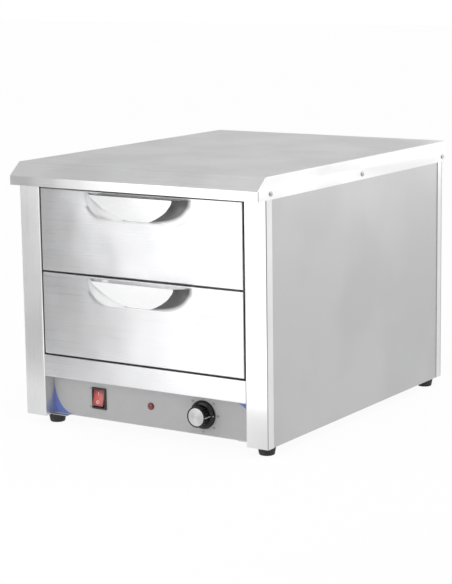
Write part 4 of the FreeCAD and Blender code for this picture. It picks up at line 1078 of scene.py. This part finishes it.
# %% Pilot lamp
LENS_RINGS = ((1.2, 0.0048), (0.7, 0.0046), (0.5, 0.0038), (0.25, 0.0026), (0.1, 0.0012))
lens_middle = spot(0, 24.4, 36.0)
lens = add_disc("lamp_lens", lens_middle, LENS_RINGS[0][1], 40)
start_turning(lens)
turn_rings(lens_middle, LENS_RINGS[0][1], LENS_RINGS)
close_up()
done()
finish_piece(lens, "cabinet", lens_red, "lens_red", "pilot_lamp_lens", smooth=40)
dress(lens_red, "pilot_lamp_holder")

# %% [markdown]
# ## The rear cover
# The back is one sheet that wraps round both corners with a generous bend. Its vents are cut while the sheet is
# still flat in the mesh: planes slice it along the edges of every slot, the small faces inside the slots are
# deleted, and Solidify then gives every slot a real wall.

# %% Rear cover
low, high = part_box("rear_cover")
rear = add_block("rear_sheet", low, high)
slot_columns = [spot(x, 0, 0).x for x in (-29, 17, 63, 109, 155)]
slot_rows = [spot(0, 0, z).z for z in (32, 44, 56)]
SLOT_HALF_LONG, SLOT_HALF_HIGH = 0.017, 0.002
WRAP_BEND = 0.0085
edit(rear)
cut_away(lambda place, way: way.y < -0.9 or abs(way.z) > 0.9)
pick("EDGE", lambda place, along: abs(along.z) > 0.9 and place.y > high.y - NEAR)
soften(WRAP_BEND, 8)
for column in slot_columns:
    for end in (-SLOT_HALF_LONG, SLOT_HALF_LONG):
        slice_all((column + end, 0, 0), (1, 0, 0))
for row in slot_rows:
    for edge in (-SLOT_HALF_HIGH, SLOT_HALF_HIGH):
        slice_all((0, 0, row + edge), (0, 0, 1))
cut_away(lambda place, way: place.y > high.y - NEAR
         and any(abs(place.x - column) < SLOT_HALF_LONG for column in slot_columns)
         and any(abs(place.z - row) < SLOT_HALF_HIGH for row in slot_rows))
done()
make_sheet(rear, SHEET)
finish_piece(rear, "cabinet", shell_steel_side, "shell_steel", "rear_cover")

# %% [markdown]
# ## Feet
# A moulded rubber foot tapers a little, has a soft lower edge and hides its screw in a hollow. It is turned like
# the knob, once, and then copied to the other three corners.

# %% Feet
FEET = {"front_left": (-200, 32), "front_right": (220, 28), "rear_left": (-220, 572), "rear_right": (220, 572)}
# each step: metres down, and how much wider or narrower than before
FOOT_STEPS = ((0.0008, 1.0), (0.0122, 0.855), (0.0012, 0.975), (0.0008, 0.93), (0.0, 0.62), (-0.0005, 0.95),
              (-0.007, 0.96))
FOOT_RADIUS = 0.015


def copied(piece, name, move):
    """A copy with its own mesh, moved inside that mesh."""
    alone(piece)
    bpy.ops.object.duplicate(linked=False)
    twin = bpy.context.object
    twin.name = name
    edit(twin)
    pick_all()
    shift(*move)
    done()
    return twin


def turn_down(centre, steps):
    """Turns a shape downwards from the picked disc: each step goes down and scales it."""
    for down, ratio in steps:
        pull(z=-down)
        scale_about(centre, x=ratio, y=ratio)


first_place = spot(*FEET["front_left"], 0)
deselect_pieces()
bpy.ops.mesh.primitive_circle_add(vertices=64, radius=FOOT_RADIUS, fill_type="NGON", location=first_place)
first_foot = settled("rubber_foot_front_left")
start_turning(first_foot)
turn_down(first_place, FOOT_STEPS)
close_up()
done()
for corner, (x, y) in FEET.items():
    foot = first_foot if corner == "front_left" else copied(first_foot, f"rubber_foot_{corner}",
                                                              spot(x, y, 0) - first_place)
    finish_piece(foot, "cabinet", rubber, "foot_rubber", f"{corner}_foot", smooth=30)

# %% [markdown]
# ## Screws
# All visible screws are the same pan head with a cross recess. One head is turned from a disc, its recess is cut
# with a cross of two slim blocks, and copies are then turned to face the sides and the back.

# %% One screw head, and all its copies
HEAD_RADIUS = 0.004
# each step: millimetres ahead, and how much narrower than before
HEAD_STEPS = ((0.9, 1.0), (0.45, 0.93), (0.35, 0.87), (0.2, 0.75), (0.08, 0.5))
CROSS_LONG, CROSS_WIDE, CROSS_TAPER = 0.0042, 0.0009, 0.55


def screw_head(name):
    """A pan head that looks to the front, with its back at the world's middle."""
    head = add_disc(name, (0, 0, 0), HEAD_RADIUS, 40)
    start_turning(head)
    for ahead, ratio in HEAD_STEPS:
        step_out(ahead, ratio, (0, 0, 0))
    close_up()
    done()
    for wide, high in ((CROSS_LONG, CROSS_WIDE), (CROSS_WIDE, CROSS_LONG)):
        blade = add_block("blade", (-wide / 2, -0.003, -high / 2), (wide / 2, -0.0007, high / 2))
        edit(blade)
        pick("FACE", lambda place, way: way.y > 0.9)
        scale_about((0, 0, 0), x=CROSS_TAPER, z=CROSS_TAPER)
        done()
        modify(head, "BOOLEAN", operation="DIFFERENCE", object=blade, solver="EXACT")
        alone(blade)
        bpy.ops.object.delete()
    return head


def screws(name, places, quarter):
    """One head turned about the upright by quarters and moved to the first place, and copies at the others."""
    first = screw_head(name)
    edit(first)
    pick_all()
    bpy.ops.transform.rotate(value=-quarter * math.pi / 2, orient_axis="Z", center_override=(0, 0, 0))
    shift(*places[0])
    done()
    return [first] + [copied(first, name, place - places[0]) for place in places[1:]]


COVER_SCREW_ROWS = (12, 300, 594)
right_heads = screws("screw_right", [spot(241.2, y, 400.7) for y in COVER_SCREW_ROWS], 1)
left_heads = screws("screw_left", [spot(-241.2, y, 400.7) for y in COVER_SCREW_ROWS], 3)
finish_piece(joined(right_heads + left_heads, "cover_screw_heads"), "cabinet", screw_metal, "screw_steel",
             "cover_screws", smooth=40)
rear_heads = screws("screw_rear", [spot(x, 600, z) for x in (-228, 228) for z in (20, 214, 379.7)], 2)
finish_piece(joined(rear_heads, "rear_screw_heads"), "cabinet", screw_metal, "screw_steel", "rear_screws",
             smooth=40)
